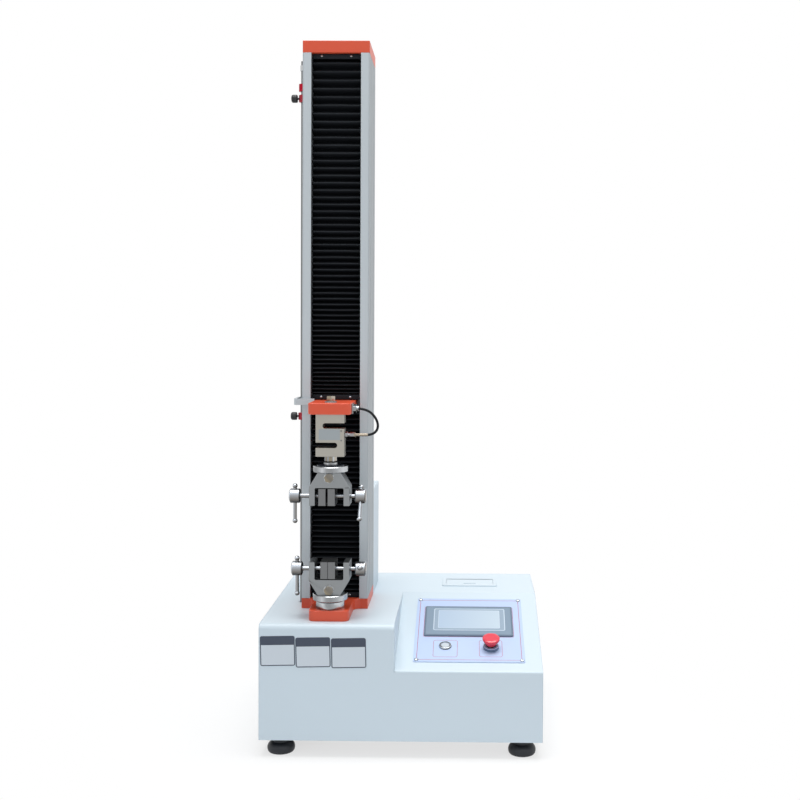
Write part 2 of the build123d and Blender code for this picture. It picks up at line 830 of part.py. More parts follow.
# Vice grips: the same yoke, jaws, screws and bars above and below
def grip_mount(name, root, up, discs):
    """Discs and rings of one grip's mount, with the shank and the cross pin in the yoke's root."""
    with BuildPart() as mount:
        for low, high, radius, bore, sides in discs:
            with BuildSketch(Plane.XY.offset(low)):
                with Locations((column_x, axis_y)):
                    if sides:
                        RegularPolygon(radius, sides, major_radius=False)
                    else:
                        Circle(radius)
                    if bore:
                        Circle(bore, mode=Mode.SUBTRACT)
            extrude(amount=high - low)
            if radius == grip_disc_radius:
                circles = mount.edges().filter_by(GeomType.CIRCLE)
                chamfer(circles.filter_by(lambda e: e.radius > grip_disc_radius - 1.0), length=disc_break)
        with BuildSketch(Plane.XY.offset(root)):
            with Locations((column_x, axis_y)):
                Circle(shank_radius)
        extrude(amount=up * shank_length)
        pin_z = root + up * pin_height
        with BuildSketch(Plane.XZ.offset(-axis_y + yoke_depth / 2 + 1.0)):
            with Locations((column_x, pin_z)):
                Circle(pin_radius + press)
        extrude(amount=-yoke_depth - 2.0, mode=Mode.SUBTRACT)
        with BuildSketch(Plane.XZ.offset(-axis_y + yoke_depth / 2)):
            with Locations((column_x, pin_z)):
                Circle(pin_radius)
        extrude(amount=-yoke_depth - pin_end)
        with BuildSketch(Plane.XZ.offset(-axis_y + yoke_depth / 2)):
            with Locations((column_x, pin_z)):
                RegularPolygon(pin_head / 2, 6, major_radius=False)
        extrude(amount=pin_head_height)
    save(mount.part, name)


def grip_yoke(name, root, up):
    """The fork that holds the jaws, open at its tip, bored for its shank, its pin and the clamp screws."""
    half = yoke_width / 2
    inner = half - yoke_leg
    root_half = yoke_root_width / 2
    with BuildPart() as yoke:
        with BuildSketch(Plane.XZ.offset(-axis_y + yoke_depth / 2)):
            with BuildLine():
                tip = root + up * yoke_height
                floor_z = tip - up * yoke_window
                shoulder = root + up * yoke_shoulder
                FilletPolyline(
                    (column_x - root_half, root),
                    (column_x - half, shoulder),
                    (column_x - half, tip),
                    (column_x - inner, tip),
                    (column_x - inner, floor_z),
                    (column_x + inner, floor_z),
                    (column_x + inner, tip),
                    (column_x + half, tip),
                    (column_x + half, shoulder),
                    (column_x + root_half, root),
                    radius=[0, 4.0, 1.0, 1.0, 2.5, 2.5, 1.0, 1.0, 4.0, 0],
                    close=True,
                )
            make_face()
        extrude(amount=-yoke_depth)
        with BuildSketch(Plane.XY.offset(root)):
            with Locations((column_x, axis_y)):
                Circle(shank_radius + running)
        extrude(amount=up * (shank_length + 0.3), mode=Mode.SUBTRACT)
        with BuildSketch(Plane.XZ.offset(-axis_y + yoke_depth / 2)):
            with Locations((column_x, root + up * pin_height)):
                Circle(pin_radius + running)
        extrude(amount=-yoke_depth, mode=Mode.SUBTRACT)
        with BuildSketch(Plane.YZ.offset(column_x - half)):
            with Locations((axis_y, tip - up * screw_from_tip)):
                Circle(screw_radius + running)
        extrude(amount=yoke_width, mode=Mode.SUBTRACT)
    save(yoke.part, name)


def clamp_set(prefix, side, inner_face, tip, up, bar_turn):
    """One jaw, its clamp screw with a knob, and the bar that slides through the knob."""
    screw_z = tip - up * screw_from_tip
    outer_face = inner_face + side * jaw_thickness
    with BuildPart() as jaw:
        with BuildSketch(Plane.XY.offset(tip)):
            with Locations(((inner_face + outer_face) / 2, axis_y)):
                Rectangle(jaw_thickness, jaw_depth)
            with Locations((inner_face, axis_y)):
                with GridLocations(0, serration_pitch, 1, serration_count):
                    Rectangle(serration, serration, rotation=45, mode=Mode.SUBTRACT)
        extrude(amount=-up * jaw_height)
        uprights = jaw.edges().filter_by(Axis.Z)
        corners = uprights.filter_by(lambda e: abs(e.center().Y - axis_y) > jaw_depth / 2 - 0.1)
        chamfer(corners, length=jaw_break)
        with BuildSketch(Plane.YZ.offset(outer_face)):
            with Locations((axis_y, screw_z)):
                Circle(screw_radius + running)
        extrude(amount=-side * (screw_seat + 0.2), mode=Mode.SUBTRACT)
    save(jaw.part, f"{prefix}_jaw")

    knob_inner = outer_face + side * screw_reach
    knob_outer = knob_inner + side * knob_length
    knob_middle = (knob_inner + knob_outer) / 2
    across = Plane(
        origin=(knob_middle, axis_y, screw_z),
        x_dir=(1, 0, 0),
        z_dir=(0, -math.sin(math.radians(bar_turn)), math.cos(math.radians(bar_turn))),
    )
    with BuildPart() as screw:
        with BuildSketch(Plane.XY.offset(screw_z)):
            with BuildLine():
                Polyline(
                    (outer_face - side * screw_seat, axis_y),
                    (outer_face - side * screw_seat, axis_y + screw_radius),
                    (knob_inner, axis_y + screw_radius),
                    (knob_inner, axis_y + knob_radius - 2.5),
                    (knob_inner + side * 1.5, axis_y + knob_radius),
                    (knob_outer - side * 2.0, axis_y + knob_radius),
                    (knob_outer, axis_y + knob_radius - 3.0),
                    (knob_outer, axis_y),
                    close=True,
                )
            make_face()
        revolve(axis=Axis((0, axis_y, screw_z), (1, 0, 0)))
        with BuildSketch(across):
            Circle(bar_radius + running)
        extrude(amount=2 * knob_radius, both=True, mode=Mode.SUBTRACT)
    save(screw.part, f"{prefix}_screw")

    short_end = knob_radius + bar_ball_radius + seat
    with BuildPart() as bar:
        with BuildSketch(across.offset(-bar_long_end)):
            Circle(bar_radius)
        extrude(amount=bar_long_end + short_end)
        for height in (-bar_long_end, short_end):
            with Locations(across.offset(height).origin):
                Sphere(bar_ball_radius)
    save(bar.part, f"{prefix}_bar")
    print(prefix, "screw", round(screw_z, 2), "knob", round(knob_middle, 2), "inner", round(inner_face, 2))


upper_tip = upper_yoke_root - yoke_height
lower_tip = lower_yoke_root + yoke_height
neck_top = cell_bottom - adapter_hex_height
lock_ring_top = upper_disc_top + lock_ring_thickness
grip_mount(
    "upper_grip_mount",
    upper_yoke_root,
    -1,
    (
        (upper_yoke_root, upper_disc_top, grip_disc_radius, 0, 0),
        (upper_disc_top, lock_ring_top, lock_ring_radius, adapter_neck_radius + 0.2, 0),
        (upper_disc_top, neck_top, adapter_neck_radius, 0, 0),
        (neck_top, cell_bottom, adapter_hex / 2, 0, 6),
        (cell_bottom, cell_bottom + cell_thread, bolt_radius, 0, 0),
    ),
)
socket_top = flange_top + socket_height
grip_mount(
    "lower_grip_mount",
    lower_yoke_root,
    1,
    (
        (base_top + passing, flange_top, shank_radius, 0, 0),
        (flange_top, socket_top, socket_radius, 0, 0),
        (socket_top, socket_top + socket_ring_height, socket_radius - 3.0, 0, 0),
        (socket_top + socket_ring_height, lower_yoke_root, grip_disc_radius, 0, 0),
    ),
)
grip_yoke("upper_yoke", upper_yoke_root, -1)
grip_yoke("lower_yoke", lower_yoke_root, 1)
upper_gap = upper_jaw_gap / 2
lower_gap = lower_jaw_gap / 2
clamp_set("upper_left", -1, column_x + upper_jaw_offset - upper_gap, upper_tip, -1, 0)
clamp_set("upper_right", 1, column_x + upper_jaw_offset + upper_gap, upper_tip, -1, -35)
clamp_set("lower_left", -1, column_x + lower_jaw_offset - lower_gap, lower_tip, 1, 0)
clamp_set("lower_right", 1, column_x + lower_jaw_offset + lower_gap, lower_tip, 1, 74)


# Bellows: a folded sheet with a flat tab at each end
def bellows(name, low, high, folds, spread):
    """Zigzag sheet from low to high, its skin measured level. Under a spread of 1 the folds open upwards."""
    start = low + bellows_tab
    length = high - low - 2 * bellows_tab
    front_edge = []
    for i in range(2 * folds + 1):
        share = i / (2 * folds)
        z = start + length * (spread * share + (1 - spread) * share ** 2)
        front_edge.append((bellows_back - bellows_skin if i % 2 == 0 else bellows_front, z))
    back_edge = [(y + bellows_skin, z) for y, z in reversed(front_edge)]
    with BuildPart() as sheet_part:
        with BuildSketch(Plane.YZ.offset(column_x - bellows_width / 2)):
            with BuildLine():
                Polyline(*front_edge, *back_edge, close=True)
            make_face()
        extrude(amount=bellows_width)
        for level in (low, high - bellows_tab):
            with BuildSketch(Plane.XY.offset(level)):
                with Locations((column_x, (bellows_front + bellows_back) / 2)):
                    Rectangle(bellows_width, bellows_depth)
            extrude(amount=bellows_tab)
    save(sheet_part.part, name)


bellows("upper_bellows", arm_top, column_top, upper_fold_count, fold_spread)
bellows("lower_bellows", flange_top, arm_bottom, lower_fold_count, 1.0)

# Limit rod with the two collars that are clamped on it, the two sliding stops and their knobs
rod_low = base_top - 46.0
rod_high = column_top - 4.0
trip_radius = 6.0
trip_z = base_top - 30.0
with BuildPart() as limit_rod:
    with BuildSketch(Plane.XY.offset(rod_low)):
        with Locations((rod_x, rod_y)):
            Circle(limit_rod_radius)
    extrude(amount=rod_high - rod_low)
    for level, radius in ((top_ring_z, stop_radius), (trip_z, trip_radius)):
        with BuildSketch(Plane.XY.offset(level - stop_height / 2)):
            with Locations((rod_x, rod_y)):
                Circle(radius)
                Circle(limit_rod_radius + running, mode=Mode.SUBTRACT)
        extrude(amount=stop_height)
save(limit_rod.part, "limit_rod")

stop_thread_radius = 2.0
stop_knob_start = rod_x - stop_radius - 2.5
for name, level in (("lower_stop", lower_stop_z), ("upper_stop", upper_stop_z)):
    with BuildPart() as ring:
        with BuildSketch(Plane.XY.offset(level - stop_height / 2)):
            with Locations((rod_x, rod_y)):
                Circle(stop_radius)
                Circle(limit_rod_radius + running, mode=Mode.SUBTRACT)
        extrude(amount=stop_height)
        circles = ring.edges().filter_by(GeomType.CIRCLE)
        chamfer(circles.filter_by(lambda e: e.radius > stop_radius - 0.1), length=edge_break)
        with BuildSketch(Plane.YZ.offset(rod_x)):
            with Locations((rod_y, level)):
                Circle(stop_thread_radius + running)
        extrude(amount=-stop_radius - 1.0, mode=Mode.SUBTRACT)
    save(ring.part, f"{name}_ring")
    with BuildPart() as stop_knob:
        with BuildSketch(Plane.XY.offset(level)):
            with BuildLine():
                end = stop_knob_start - stop_knob_length
                FilletPolyline(
                    (rod_x - limit_rod_radius - seat, rod_y),
                    (rod_x - limit_rod_radius - seat, rod_y + stop_thread_radius),
                    (stop_knob_start, rod_y + stop_thread_radius),
                    (stop_knob_start, rod_y + stop_knob_radius),
                    (end, rod_y + stop_knob_radius),
                    (end, rod_y),
                    radius=[0, 0, 0, 2.0, 3.5, 0],
                    close=True,
                )
            make_face()
        revolve(axis=Axis((0, rod_y, level), (1, 0, 0)))
    save(stop_knob.part, f"{name}_knob")

# Guides of the limit rod on the column and in the base, with the two micro switches and their levers
guide_radius = 4.5
guide_depth = 9.0
guide_height = 10.0
switch_thickness = 6.4
switch_length = 20.0
switch_tall = 10.0
switch_y = rod_y + switch_length / 2 + 5.5
lever_width = 4.4
lever_thickness = 0.6
lever_gap = 1.2
lever_reach = 10.0
wall_x = column_x - frame_width / 2
with BuildPart() as limit_guides:
    for level, wall in ((column_top - 22.0, column_x - column_width / 2), (base_top - 16.0, wall_x)):
        with BuildSketch(Plane.XY.offset(level)):
            with Locations(((rod_x + wall) / 2, rod_y)):
                Rectangle(wall - rod_x, guide_depth)
            with Locations((rod_x, rod_y)):
                Circle(guide_radius)
                Circle(limit_rod_radius + running, mode=Mode.SUBTRACT)
        extrude(amount=guide_height)
    for way in (-1, 1):
        lever_z = trip_z + way * (stop_height / 2 + rod_stroke + seat)
        body_z = lever_z + way * (lever_thickness + lever_gap)
        with BuildSketch(Plane.XY.offset(lever_z)):
            with Locations((wall_x - switch_thickness / 2, switch_y - lever_reach / 2)):
                Rectangle(lever_width, switch_length + lever_reach)
        extrude(amount=way * lever_thickness)
        with BuildSketch(Plane.XY.offset(lever_z)):
            with Locations((wall_x - switch_thickness / 2, switch_y + switch_length / 2 - lever_gap)):
                Rectangle(lever_width, 2 * lever_gap)
        extrude(amount=way * (lever_thickness + lever_gap))
        with BuildSketch(Plane.XY.offset(body_z)):
            with Locations((wall_x - switch_thickness / 2, switch_y)):
                Rectangle(switch_thickness, switch_length)
        extrude(amount=way * switch_tall)
save(limit_guides.part, "limit_guides")

# Levelling feet: a rubber dome moulded on a threaded stud
for number, (x, y) in enumerate(foot_places):
    with BuildPart() as foot:
        with BuildSketch(Plane.XZ.offset(-y)):
            with BuildLine():
                Line((x, 0), (x + 22.5, 0))
                RadiusArc((x + 22.5, 0), (x + 25.0, 6.0), 8.0)
                RadiusArc((x + 25.0, 6.0), (x + 14.0, 20.5), 21.0)
                Line((x + 14.0, 20.5), (x + 14.0, foot_height - seat))
                Line((x + 14.0, foot_height - seat), (x + stud_radius, foot_height - seat))
                Line((x + stud_radius, foot_height - seat), (x + stud_radius, foot_height + 32.0))
                Line((x + stud_radius, foot_height + 32.0), (x, foot_height + 32.0))
                Line((x, foot_height + 32.0), (x, 0))
            make_face()
        revolve(axis=Axis((x, y, 0), (0, 0, 1)))
    place = ("left" if x < 0 else "right") + ("_front" if number % 2 == 0 else "_back")
    save(foot.part, f"{place}_foot")


# Console fascia with the stop button's collar and contact block, and the power button's housing
def console_disc(x, up, low, high, radius, bore=0.0):
    """A disc or ring that stands on the console, from one height out of it to another."""
    with BuildPart() as disc:
        with BuildSketch(console_level(x, up, low)):
            Circle(radius)
            if bore:
                Circle(bore, mode=Mode.SUBTRACT)
        extrude(amount=high - low)
    return disc.part


def on_console(shape, *more):
    """Several solids as one node, each kept on its own."""
    return Compound([solid for item in (shape, *more) for solid in item.solids()])


collar_height = 6.0
collar_bore = 10.0
neck_depth = 3.0
block_size = 28.0
block_depth = 42.0
power_rim = 3.0
power_depth = 25.0
power_bore = power_cap_radius + 2 * running
with BuildPart() as fascia:
    with BuildSketch(console_plane):
        with Locations((panel_x, panel_up)):
            RectangleRounded(panel_width, panel_height, 3.0)
        with Locations((screen_x, screen_up)):
            Rectangle(screen_cutout[0] + passing, screen_cutout[1] + passing, mode=Mode.SUBTRACT)
        with Locations((power_x, power_up)):
            Circle(power_barrel_radius + running, mode=Mode.SUBTRACT)
        with Locations((stop_x, stop_up)):
            Circle(stop_neck_radius, mode=Mode.SUBTRACT)
    extrude(amount=panel_thickness)
with BuildPart() as stop_collar:
    collar_top = panel_thickness + collar_height
    add(console_disc(stop_x, stop_up, panel_thickness, collar_top, stop_collar_radius))
    add(console_disc(stop_x, stop_up, -neck_depth, panel_thickness, stop_neck_radius - running))
    add(console_disc(stop_x, stop_up, -neck_depth, collar_top, collar_bore), mode=Mode.SUBTRACT)
with BuildPart() as stop_block:
    with BuildSketch(console_level(stop_x, stop_up, -neck_depth)):
        Rectangle(block_size, block_size)
    extrude(amount=-block_depth)
    hole_low = -neck_depth - block_depth / 2 - 4.0
    add(console_disc(stop_x, stop_up, hole_low, -neck_depth, stop_stem_radius + running), mode=Mode.SUBTRACT)
with BuildPart() as power_housing:
    add(console_disc(power_x, power_up, panel_thickness, panel_thickness + power_rim, power_ring_radius))
    add(console_disc(power_x, power_up, -power_depth, panel_thickness, power_barrel_radius))
    bore = console_disc(power_x, power_up, -power_depth + 16.0, panel_thickness + power_rim, power_bore)
    add(bore, mode=Mode.SUBTRACT)
save(on_console(fascia.part, stop_collar.part, stop_block.part, power_housing.part), "control_panel")

with BuildPart() as power_button:
    add(console_disc(power_x, power_up, -6.0, panel_thickness + power_rim - 0.3, power_cap_radius))
    face = power_button.faces().sort_by(outwards)[-1]
    chamfer(face.edges(), length=0.4)
save(power_button.part, "power_button")

# Mushroom head on its stem
stem_low = -20.0
head_low = 9.0
head_top = 24.0
stem_top = 19.5
save(console_disc(stop_x, stop_up, stem_low, stem_top, stop_stem_radius), "estop_stem")
with BuildPart() as estop_head:
    profile_plane = Plane(
        origin=console_point(stop_x, stop_up, 0),
        x_dir=(1, 0, 0),
        z_dir=-console_plane.y_dir,
    )
    with BuildSketch(profile_plane):
        with BuildLine():
            FilletPolyline(
                (stop_stem_radius + running, head_low),
                (9.0, head_low),
                (9.0, stop_underside),
                (11.0, stop_underside),
                (stop_head_radius, head_top - 5.0),
                (stop_head_radius, head_top - 1.5),
                (stop_head_radius - 4.0, head_top),
                (0, head_top),
                (0, stem_top + running),
                (stop_stem_radius + running, stem_top + running),
                radius=[0, 0, 0, 1.0, 2.0, 1.2, 6.0, 0, 0, 0],
                close=True,
            )
        make_face()
    revolve(axis=Axis(console_point(stop_x, stop_up, 0), console_plane.z_dir))
save(estop_head.part, "estop_head")

# Touch screen: a bezel on the fascia, its body behind, and the display set into it
screen_body_depth = 22.0
display_recess = 1.0
display_up = screen_up + 1.5
screen_face = panel_thickness + screen_bezel
with BuildPart() as screen_case:
    with BuildSketch(console_level(screen_x, screen_up, panel_thickness)):
        RectangleRounded(screen_width, screen_height, 3.0)
    extrude(amount=screen_bezel)
    chamfer(screen_case.faces().sort_by(outwards)[-1].edges(), length=edge_break)
    with BuildSketch(console_level(screen_x, screen_up, panel_thickness)):
        Rectangle(*screen_cutout)
    extrude(amount=-screen_body_depth)
    with BuildSketch(console_level(screen_x, display_up, screen_face)):
        Rectangle(display_width + 0.2, display_height + 0.2)
    extrude(amount=-display_recess - 1.0, mode=Mode.SUBTRACT)
with BuildPart() as display:
    with BuildSketch(console_level(screen_x, display_up, screen_face - display_recess)):
        Rectangle(display_width, display_height)
    extrude(amount=-1.0)
save(on_console(screen_case.part, display.part), "touch_screen")

# Panel printer: frame on the housing's top, body with two cheeks below, print head in front of the bay
frame_thickness = 2.5
bay_back = printer_y + 23.6
bay_front = printer_y - 22.5
bay_width = 96.0
hinge_y = printer_y + 18.4
hinge_z = base_top - 2.5
barrel_length = 80.0
cheek_thickness = 3.7
cheek_x = barrel_length / 2 + seat
ear_radius = 2.3
roll_y = printer_y + 6.0
roll_z = base_top - 29.0
roll_radius = 14.5
roll_length = 57.0
axle_radius = 4.0
body_floor = base_top - printer_depth
with BuildPart() as panel_printer:
    with BuildSketch(Plane.XY.offset(base_top)):
        with Locations((printer_x, printer_y)):
            RectangleRounded(*printer_frame, 4.0)
    extrude(amount=frame_thickness)
    chamfer(panel_printer.faces().sort_by(Axis.Z)[-1].edges(), length=0.8)
    with BuildSketch(Plane.XY.offset(body_floor)):
        with Locations((printer_x, printer_y)):
            Rectangle(*printer_body)
    extrude(amount=printer_depth)
    with BuildSketch(Plane.XY.offset(body_floor + printer_wall)):
        with Locations((printer_x, printer_y)):
            Rectangle(printer_body[0] - 2 * printer_wall, printer_body[1] - 2 * printer_wall)
    extrude(amount=printer_depth - printer_wall, mode=Mode.SUBTRACT)
    with BuildSketch(Plane.XY.offset(base_top)):
        with Locations((printer_x, (bay_front + bay_back) / 2)):
            Rectangle(bay_width, bay_back - bay_front)
    extrude(amount=frame_thickness, mode=Mode.SUBTRACT)
    with BuildSketch(Plane.YZ.offset(printer_x)):
        with BuildLine():
            Polyline(
                (roll_y - 9.0, body_floor),
                (roll_y - 9.0, roll_z + 8.0),
                (hinge_y - ear_radius, roll_z + 14.0),
                (hinge_y - ear_radius, hinge_z),
                (hinge_y + ear_radius, hinge_z),
                (hinge_y + ear_radius, body_floor),
                close=True,
            )
        make_face()
        with Locations((hinge_y, hinge_z)):
            Circle(ear_radius)
            Circle(hinge_radius + running, mode=Mode.SUBTRACT)
    extrude(amount=cheek_x + cheek_thickness, both=True)
    with BuildSketch(Plane.YZ.offset(printer_x)):
        with Locations(((bay_front + bay_back) / 2, body_floor + printer_wall + printer_depth / 2 + 3.0)):
            Rectangle(bay_back - bay_front + 2.0, printer_depth + 6.0)
    extrude(amount=cheek_x, both=True, mode=Mode.SUBTRACT)
    with BuildSketch(Plane.YZ.offset(printer_x)):
        with Locations((roll_y, roll_z)):
            Circle(axle_radius)
    extrude(amount=cheek_x + 0.5, both=True)
    with BuildSketch(Plane.XY.offset(body_floor)):
        with Locations((printer_x, printer_y - printer_body[1] / 2 + 9.0)):
            Rectangle(76.0, 14.0)
    extrude(amount=printer_depth - 4.0)
save(panel_printer.part, "panel_printer")

with BuildPart() as printer_door:
    with BuildSketch(Plane.YZ.offset(printer_x)):
        with BuildLine():
            FilletPolyline(
                (door_front, base_top),
                (door_front, base_top + door_thickness),
                (door_back, base_top + door_thickness),
                (door_back, base_top),
                radius=[0, 0.6, 2.0, 0],
                close=True,
            )
        make_face()
    extrude(amount=door_width / 2, both=True)
    with BuildSketch(Plane.YZ.offset(printer_x)):
        with Locations((hinge_y, hinge_z)):
            Circle(ear_radius - 0.1)
        with Locations((hinge_y, (hinge_z + base_top + 1.0) / 2)):
            Rectangle(3.0, base_top + 1.0 - hinge_z)
    extrude(amount=barrel_length / 2, both=True)
    with BuildSketch(Plane.YZ.offset(printer_x)):
        with Locations((hinge_y, hinge_z)):
            Circle(hinge_radius)
    extrude(amount=cheek_x + cheek_thickness - 0.5, both=True)
    with BuildSketch(Plane.XY.offset(base_top + door_thickness)):
        with Locations((printer_x, door_front + 5.5)):
            SlotOverall(26.0, 5.0)
    extrude(amount=-0.8, mode=Mode.SUBTRACT)
save(printer_door.part, "printer_door")

with BuildPart() as paper_roll:
    with BuildSketch(Plane.YZ.offset(printer_x)):
        with Locations((roll_y, roll_z)):
            Circle(roll_radius)
            Circle(axle_radius + running, mode=Mode.SUBTRACT)
    extrude(amount=roll_length / 2, both=True)
save(paper_roll.part, "paper_roll")

# Power inlet with a rocker switch above the three blades
inlet_face = back + inlet_flange
inlet_depth = 20.0
socket_z = inlet_z - 11.0
rocker_z = inlet_z + 16.0
rocker_depth = 12.0
rocker_pivot_y = inlet_face - 3.2
rocker_pin_radius = 1.5
rocker_tilt = 10.0
with BuildPart() as power_inlet:
    with BuildSketch(Plane.XZ.offset(-back)):
        with Locations((inlet_x, inlet_z)):
            RectangleRounded(inlet_width, inlet_height, 2.0)
    extrude(amount=-inlet_flange)
    with BuildSketch(Plane.XZ.offset(-back)):
        with Locations((inlet_x, inlet_z)):
            Rectangle(inlet_width - wide_passing - seat, inlet_height - wide_passing - seat)
    extrude(amount=inlet_depth)
    with BuildSketch(Plane.XZ.offset(-inlet_face)):
        with BuildLine():
            wide = socket_width / 2
            tall = socket_tall / 2
            FilletPolyline(
                (inlet_x - wide, socket_z - tall),
                (inlet_x + wide, socket_z - tall),
                (inlet_x + wide, socket_z + tall - 5.0),
                (inlet_x + wide - 5.0, socket_z + tall),
                (inlet_x - wide + 5.0, socket_z + tall),
                (inlet_x - wide, socket_z + tall - 5.0),
                radius=1.0,
                close=True,
            )
        make_face()
    extrude(amount=socket_depth, mode=Mode.SUBTRACT)
    with BuildSketch(Plane.XZ.offset(-inlet_face)):
        with Locations((inlet_x, rocker_z)):
            Rectangle(rocker_width, rocker_tall)
    extrude(amount=rocker_depth, mode=Mode.SUBTRACT)
    with BuildSketch(Plane.YZ.offset(inlet_x)):
        with Locations((rocker_pivot_y, rocker_z)):
            Circle(rocker_pin_radius + running)
    extrude(amount=rocker_width / 2 + 1.6, both=True, mode=Mode.SUBTRACT)
    with BuildSketch(Plane.XZ.offset(-inlet_face + socket_depth)):
        for across, up in ((-7.0, -2.0), (0, 2.0), (7.0, -2.0)):
            with Locations((inlet_x + across, socket_z + up)):
                Rectangle(2.0, 4.0)
    extrude(amount=-socket_depth + 3.0)
save(power_inlet.part, "power_inlet")

with BuildPart() as rocker_switch:
    with BuildSketch(Plane.YZ.offset(inlet_x)):
        with BuildLine():
            corners = ((3.0, 5.4), (1.6, 0), (3.0, -5.4), (-5.0, -3.0), (-5.0, 3.0))
            outline = [Vector(*corner) for corner in corners]
            centre = Vector(rocker_pivot_y, rocker_z)
            Polyline(*[centre + point.rotate(Axis.Z, -rocker_tilt) for point in outline], close=True)
        make_face()
    extrude(amount=rocker_width / 2 - seat, both=True)
    with BuildSketch(Plane.YZ.offset(inlet_x)):
        with Locations((rocker_pivot_y, rocker_z)):
            Circle(rocker_pin_radius)
    extrude(amount=rocker_width / 2 + 1.2, both=True)
save(rocker_switch.part, "rocker_switch")

# Electronics on the bottom plate: power supply, motor driver with its heat sink, board on standoffs
middle_y = (front + back) / 2
supply_size = (160.0, 98.0, 42.0)
driver_size = (70.0, 120.0, 38.0)
driver_place = (base_width / 2 - 65.0, middle_y - 19.0)
supply_x = (column_x + frame_width / 2 + driver_place[0] - driver_size[0] / 2) / 2
supply_place = (supply_x, middle_y + 71.0)
fin_count = 8
fin_height = 24.0
board_size = (150.0, 100.0)
board_place = (supply_x, middle_y - 109.0)
board_standoff = 10.0
board_thickness = 1.6
with BuildPart() as supply:
    with BuildSketch(Plane.XY.offset(floor_z)):
        with Locations(supply_place):
            Rectangle(supply_size[0], supply_size[1])
    extrude(amount=supply_size[2])
with BuildPart() as driver:
    with BuildSketch(Plane.XY.offset(floor_z)):
        with Locations(driver_place):
            Rectangle(driver_size[0], driver_size[1])
    extrude(amount=driver_size[2])
    with BuildSketch(Plane.XY.offset(floor_z + driver_size[2])):
        with Locations(driver_place):
            with GridLocations(driver_size[0] / fin_count, 0, fin_count, 1):
                Rectangle(2.0, driver_size[1])
    extrude(amount=fin_height)
with BuildPart() as board:
    with BuildSketch(Plane.XY.offset(floor_z)):
        with Locations(board_place):
            with GridLocations(board_size[0] - 10.0, board_size[1] - 10.0, 2, 2):
                Circle(3.0)
    extrude(amount=board_standoff)
    with BuildSketch(Plane.XY.offset(floor_z + board_standoff)):
        with Locations(board_place):
            Rectangle(*board_size)
    extrude(amount=board_thickness)
    with BuildSketch(Plane.XY.offset(floor_z + board_standoff + board_thickness)):
        with Locations((board_place[0] - 40.0, board_place[1] + 15.0)):
            Rectangle(24.0, 24.0)
        with Locations((board_place[0] + 45.0, board_place[1] - 30.0)):
            Rectangle(40.0, 12.0)
    extrude(amount=6.0)
save(on_console(supply.part, driver.part, board.part), "electronics")

for name, x, up in (("stop", stop_x, stop_up), ("power", power_x, power_up)):
    print(name, [round(v, 3) for v in tuple(console_point(x, up, 0))])
print("console normal", [round(v, 6) for v in tuple(console_plane.z_dir)])
print("hinge", round(hinge_y, 3), hinge_z, "roll", round(roll_y, 3), roll_z)
print("rocker", round(rocker_pivot_y, 3), rocker_z)
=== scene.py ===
import bpy
import math
from mathutils import Matrix, Vector


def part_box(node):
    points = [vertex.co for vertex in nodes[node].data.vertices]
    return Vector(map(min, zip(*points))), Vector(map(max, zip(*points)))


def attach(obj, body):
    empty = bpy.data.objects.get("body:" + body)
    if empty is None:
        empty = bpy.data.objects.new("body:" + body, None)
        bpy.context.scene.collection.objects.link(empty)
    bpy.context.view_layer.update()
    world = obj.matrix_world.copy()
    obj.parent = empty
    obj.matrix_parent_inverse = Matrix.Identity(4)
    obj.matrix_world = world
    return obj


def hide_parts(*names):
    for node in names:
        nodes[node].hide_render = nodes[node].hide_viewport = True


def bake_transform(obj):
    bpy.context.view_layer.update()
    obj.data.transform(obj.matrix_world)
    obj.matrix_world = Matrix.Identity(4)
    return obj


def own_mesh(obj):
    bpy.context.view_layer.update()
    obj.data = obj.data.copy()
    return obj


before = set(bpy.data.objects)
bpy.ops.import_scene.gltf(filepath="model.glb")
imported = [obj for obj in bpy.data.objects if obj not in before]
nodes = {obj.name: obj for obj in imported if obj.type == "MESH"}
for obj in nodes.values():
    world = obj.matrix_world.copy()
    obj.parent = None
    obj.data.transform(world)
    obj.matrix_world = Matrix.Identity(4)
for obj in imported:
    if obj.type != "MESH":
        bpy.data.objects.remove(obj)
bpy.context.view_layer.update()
bpy.ops.object.select_all(action="DESELECT")

# The place where the machine stands: a seamless pale floor, a soft lamp above, a weaker one in front and a
# faint one on each side, and a white room. The camera stands a little to the right of the column, well back,
# at half the column's height.
scene = bpy.context.scene
scene.view_settings.view_transform = "Standard"

camera_place = Vector((0.11441, -2.12583, 0.7470))
camera_yaw = 0.01172
camera_pitch = -0.02839
camera_roll = -0.006
turn = (
    Matrix.Rotation(camera_yaw, 3, "Z")
    @ Matrix.Rotation(camera_pitch, 3, "X")
    @ Matrix.Rotation(camera_roll, 3, "Y")
)
right, ahead, up = (turn @ Vector(axis) for axis in ((1, 0, 0), (0, 1, 0), (0, 0, 1)))
camera_data = bpy.data.cameras.new("camera")
camera_data.sensor_width = 36.0
camera_data.lens = 49.5
camera_data.shift_x = -0.06875
camera_data.shift_y = -0.04375
camera_data.clip_end = 60.0
camera = bpy.data.objects.new("camera", camera_data)
camera.matrix_world = Matrix((
    (right.x, up.x, -ahead.x, camera_place.x),
    (right.y, up.y, -ahead.y, camera_place.y),
    (right.z, up.z, -ahead.z, camera_place.z),
    (0, 0, 0, 1),
))
scene.collection.objects.link(camera)
scene.camera = camera


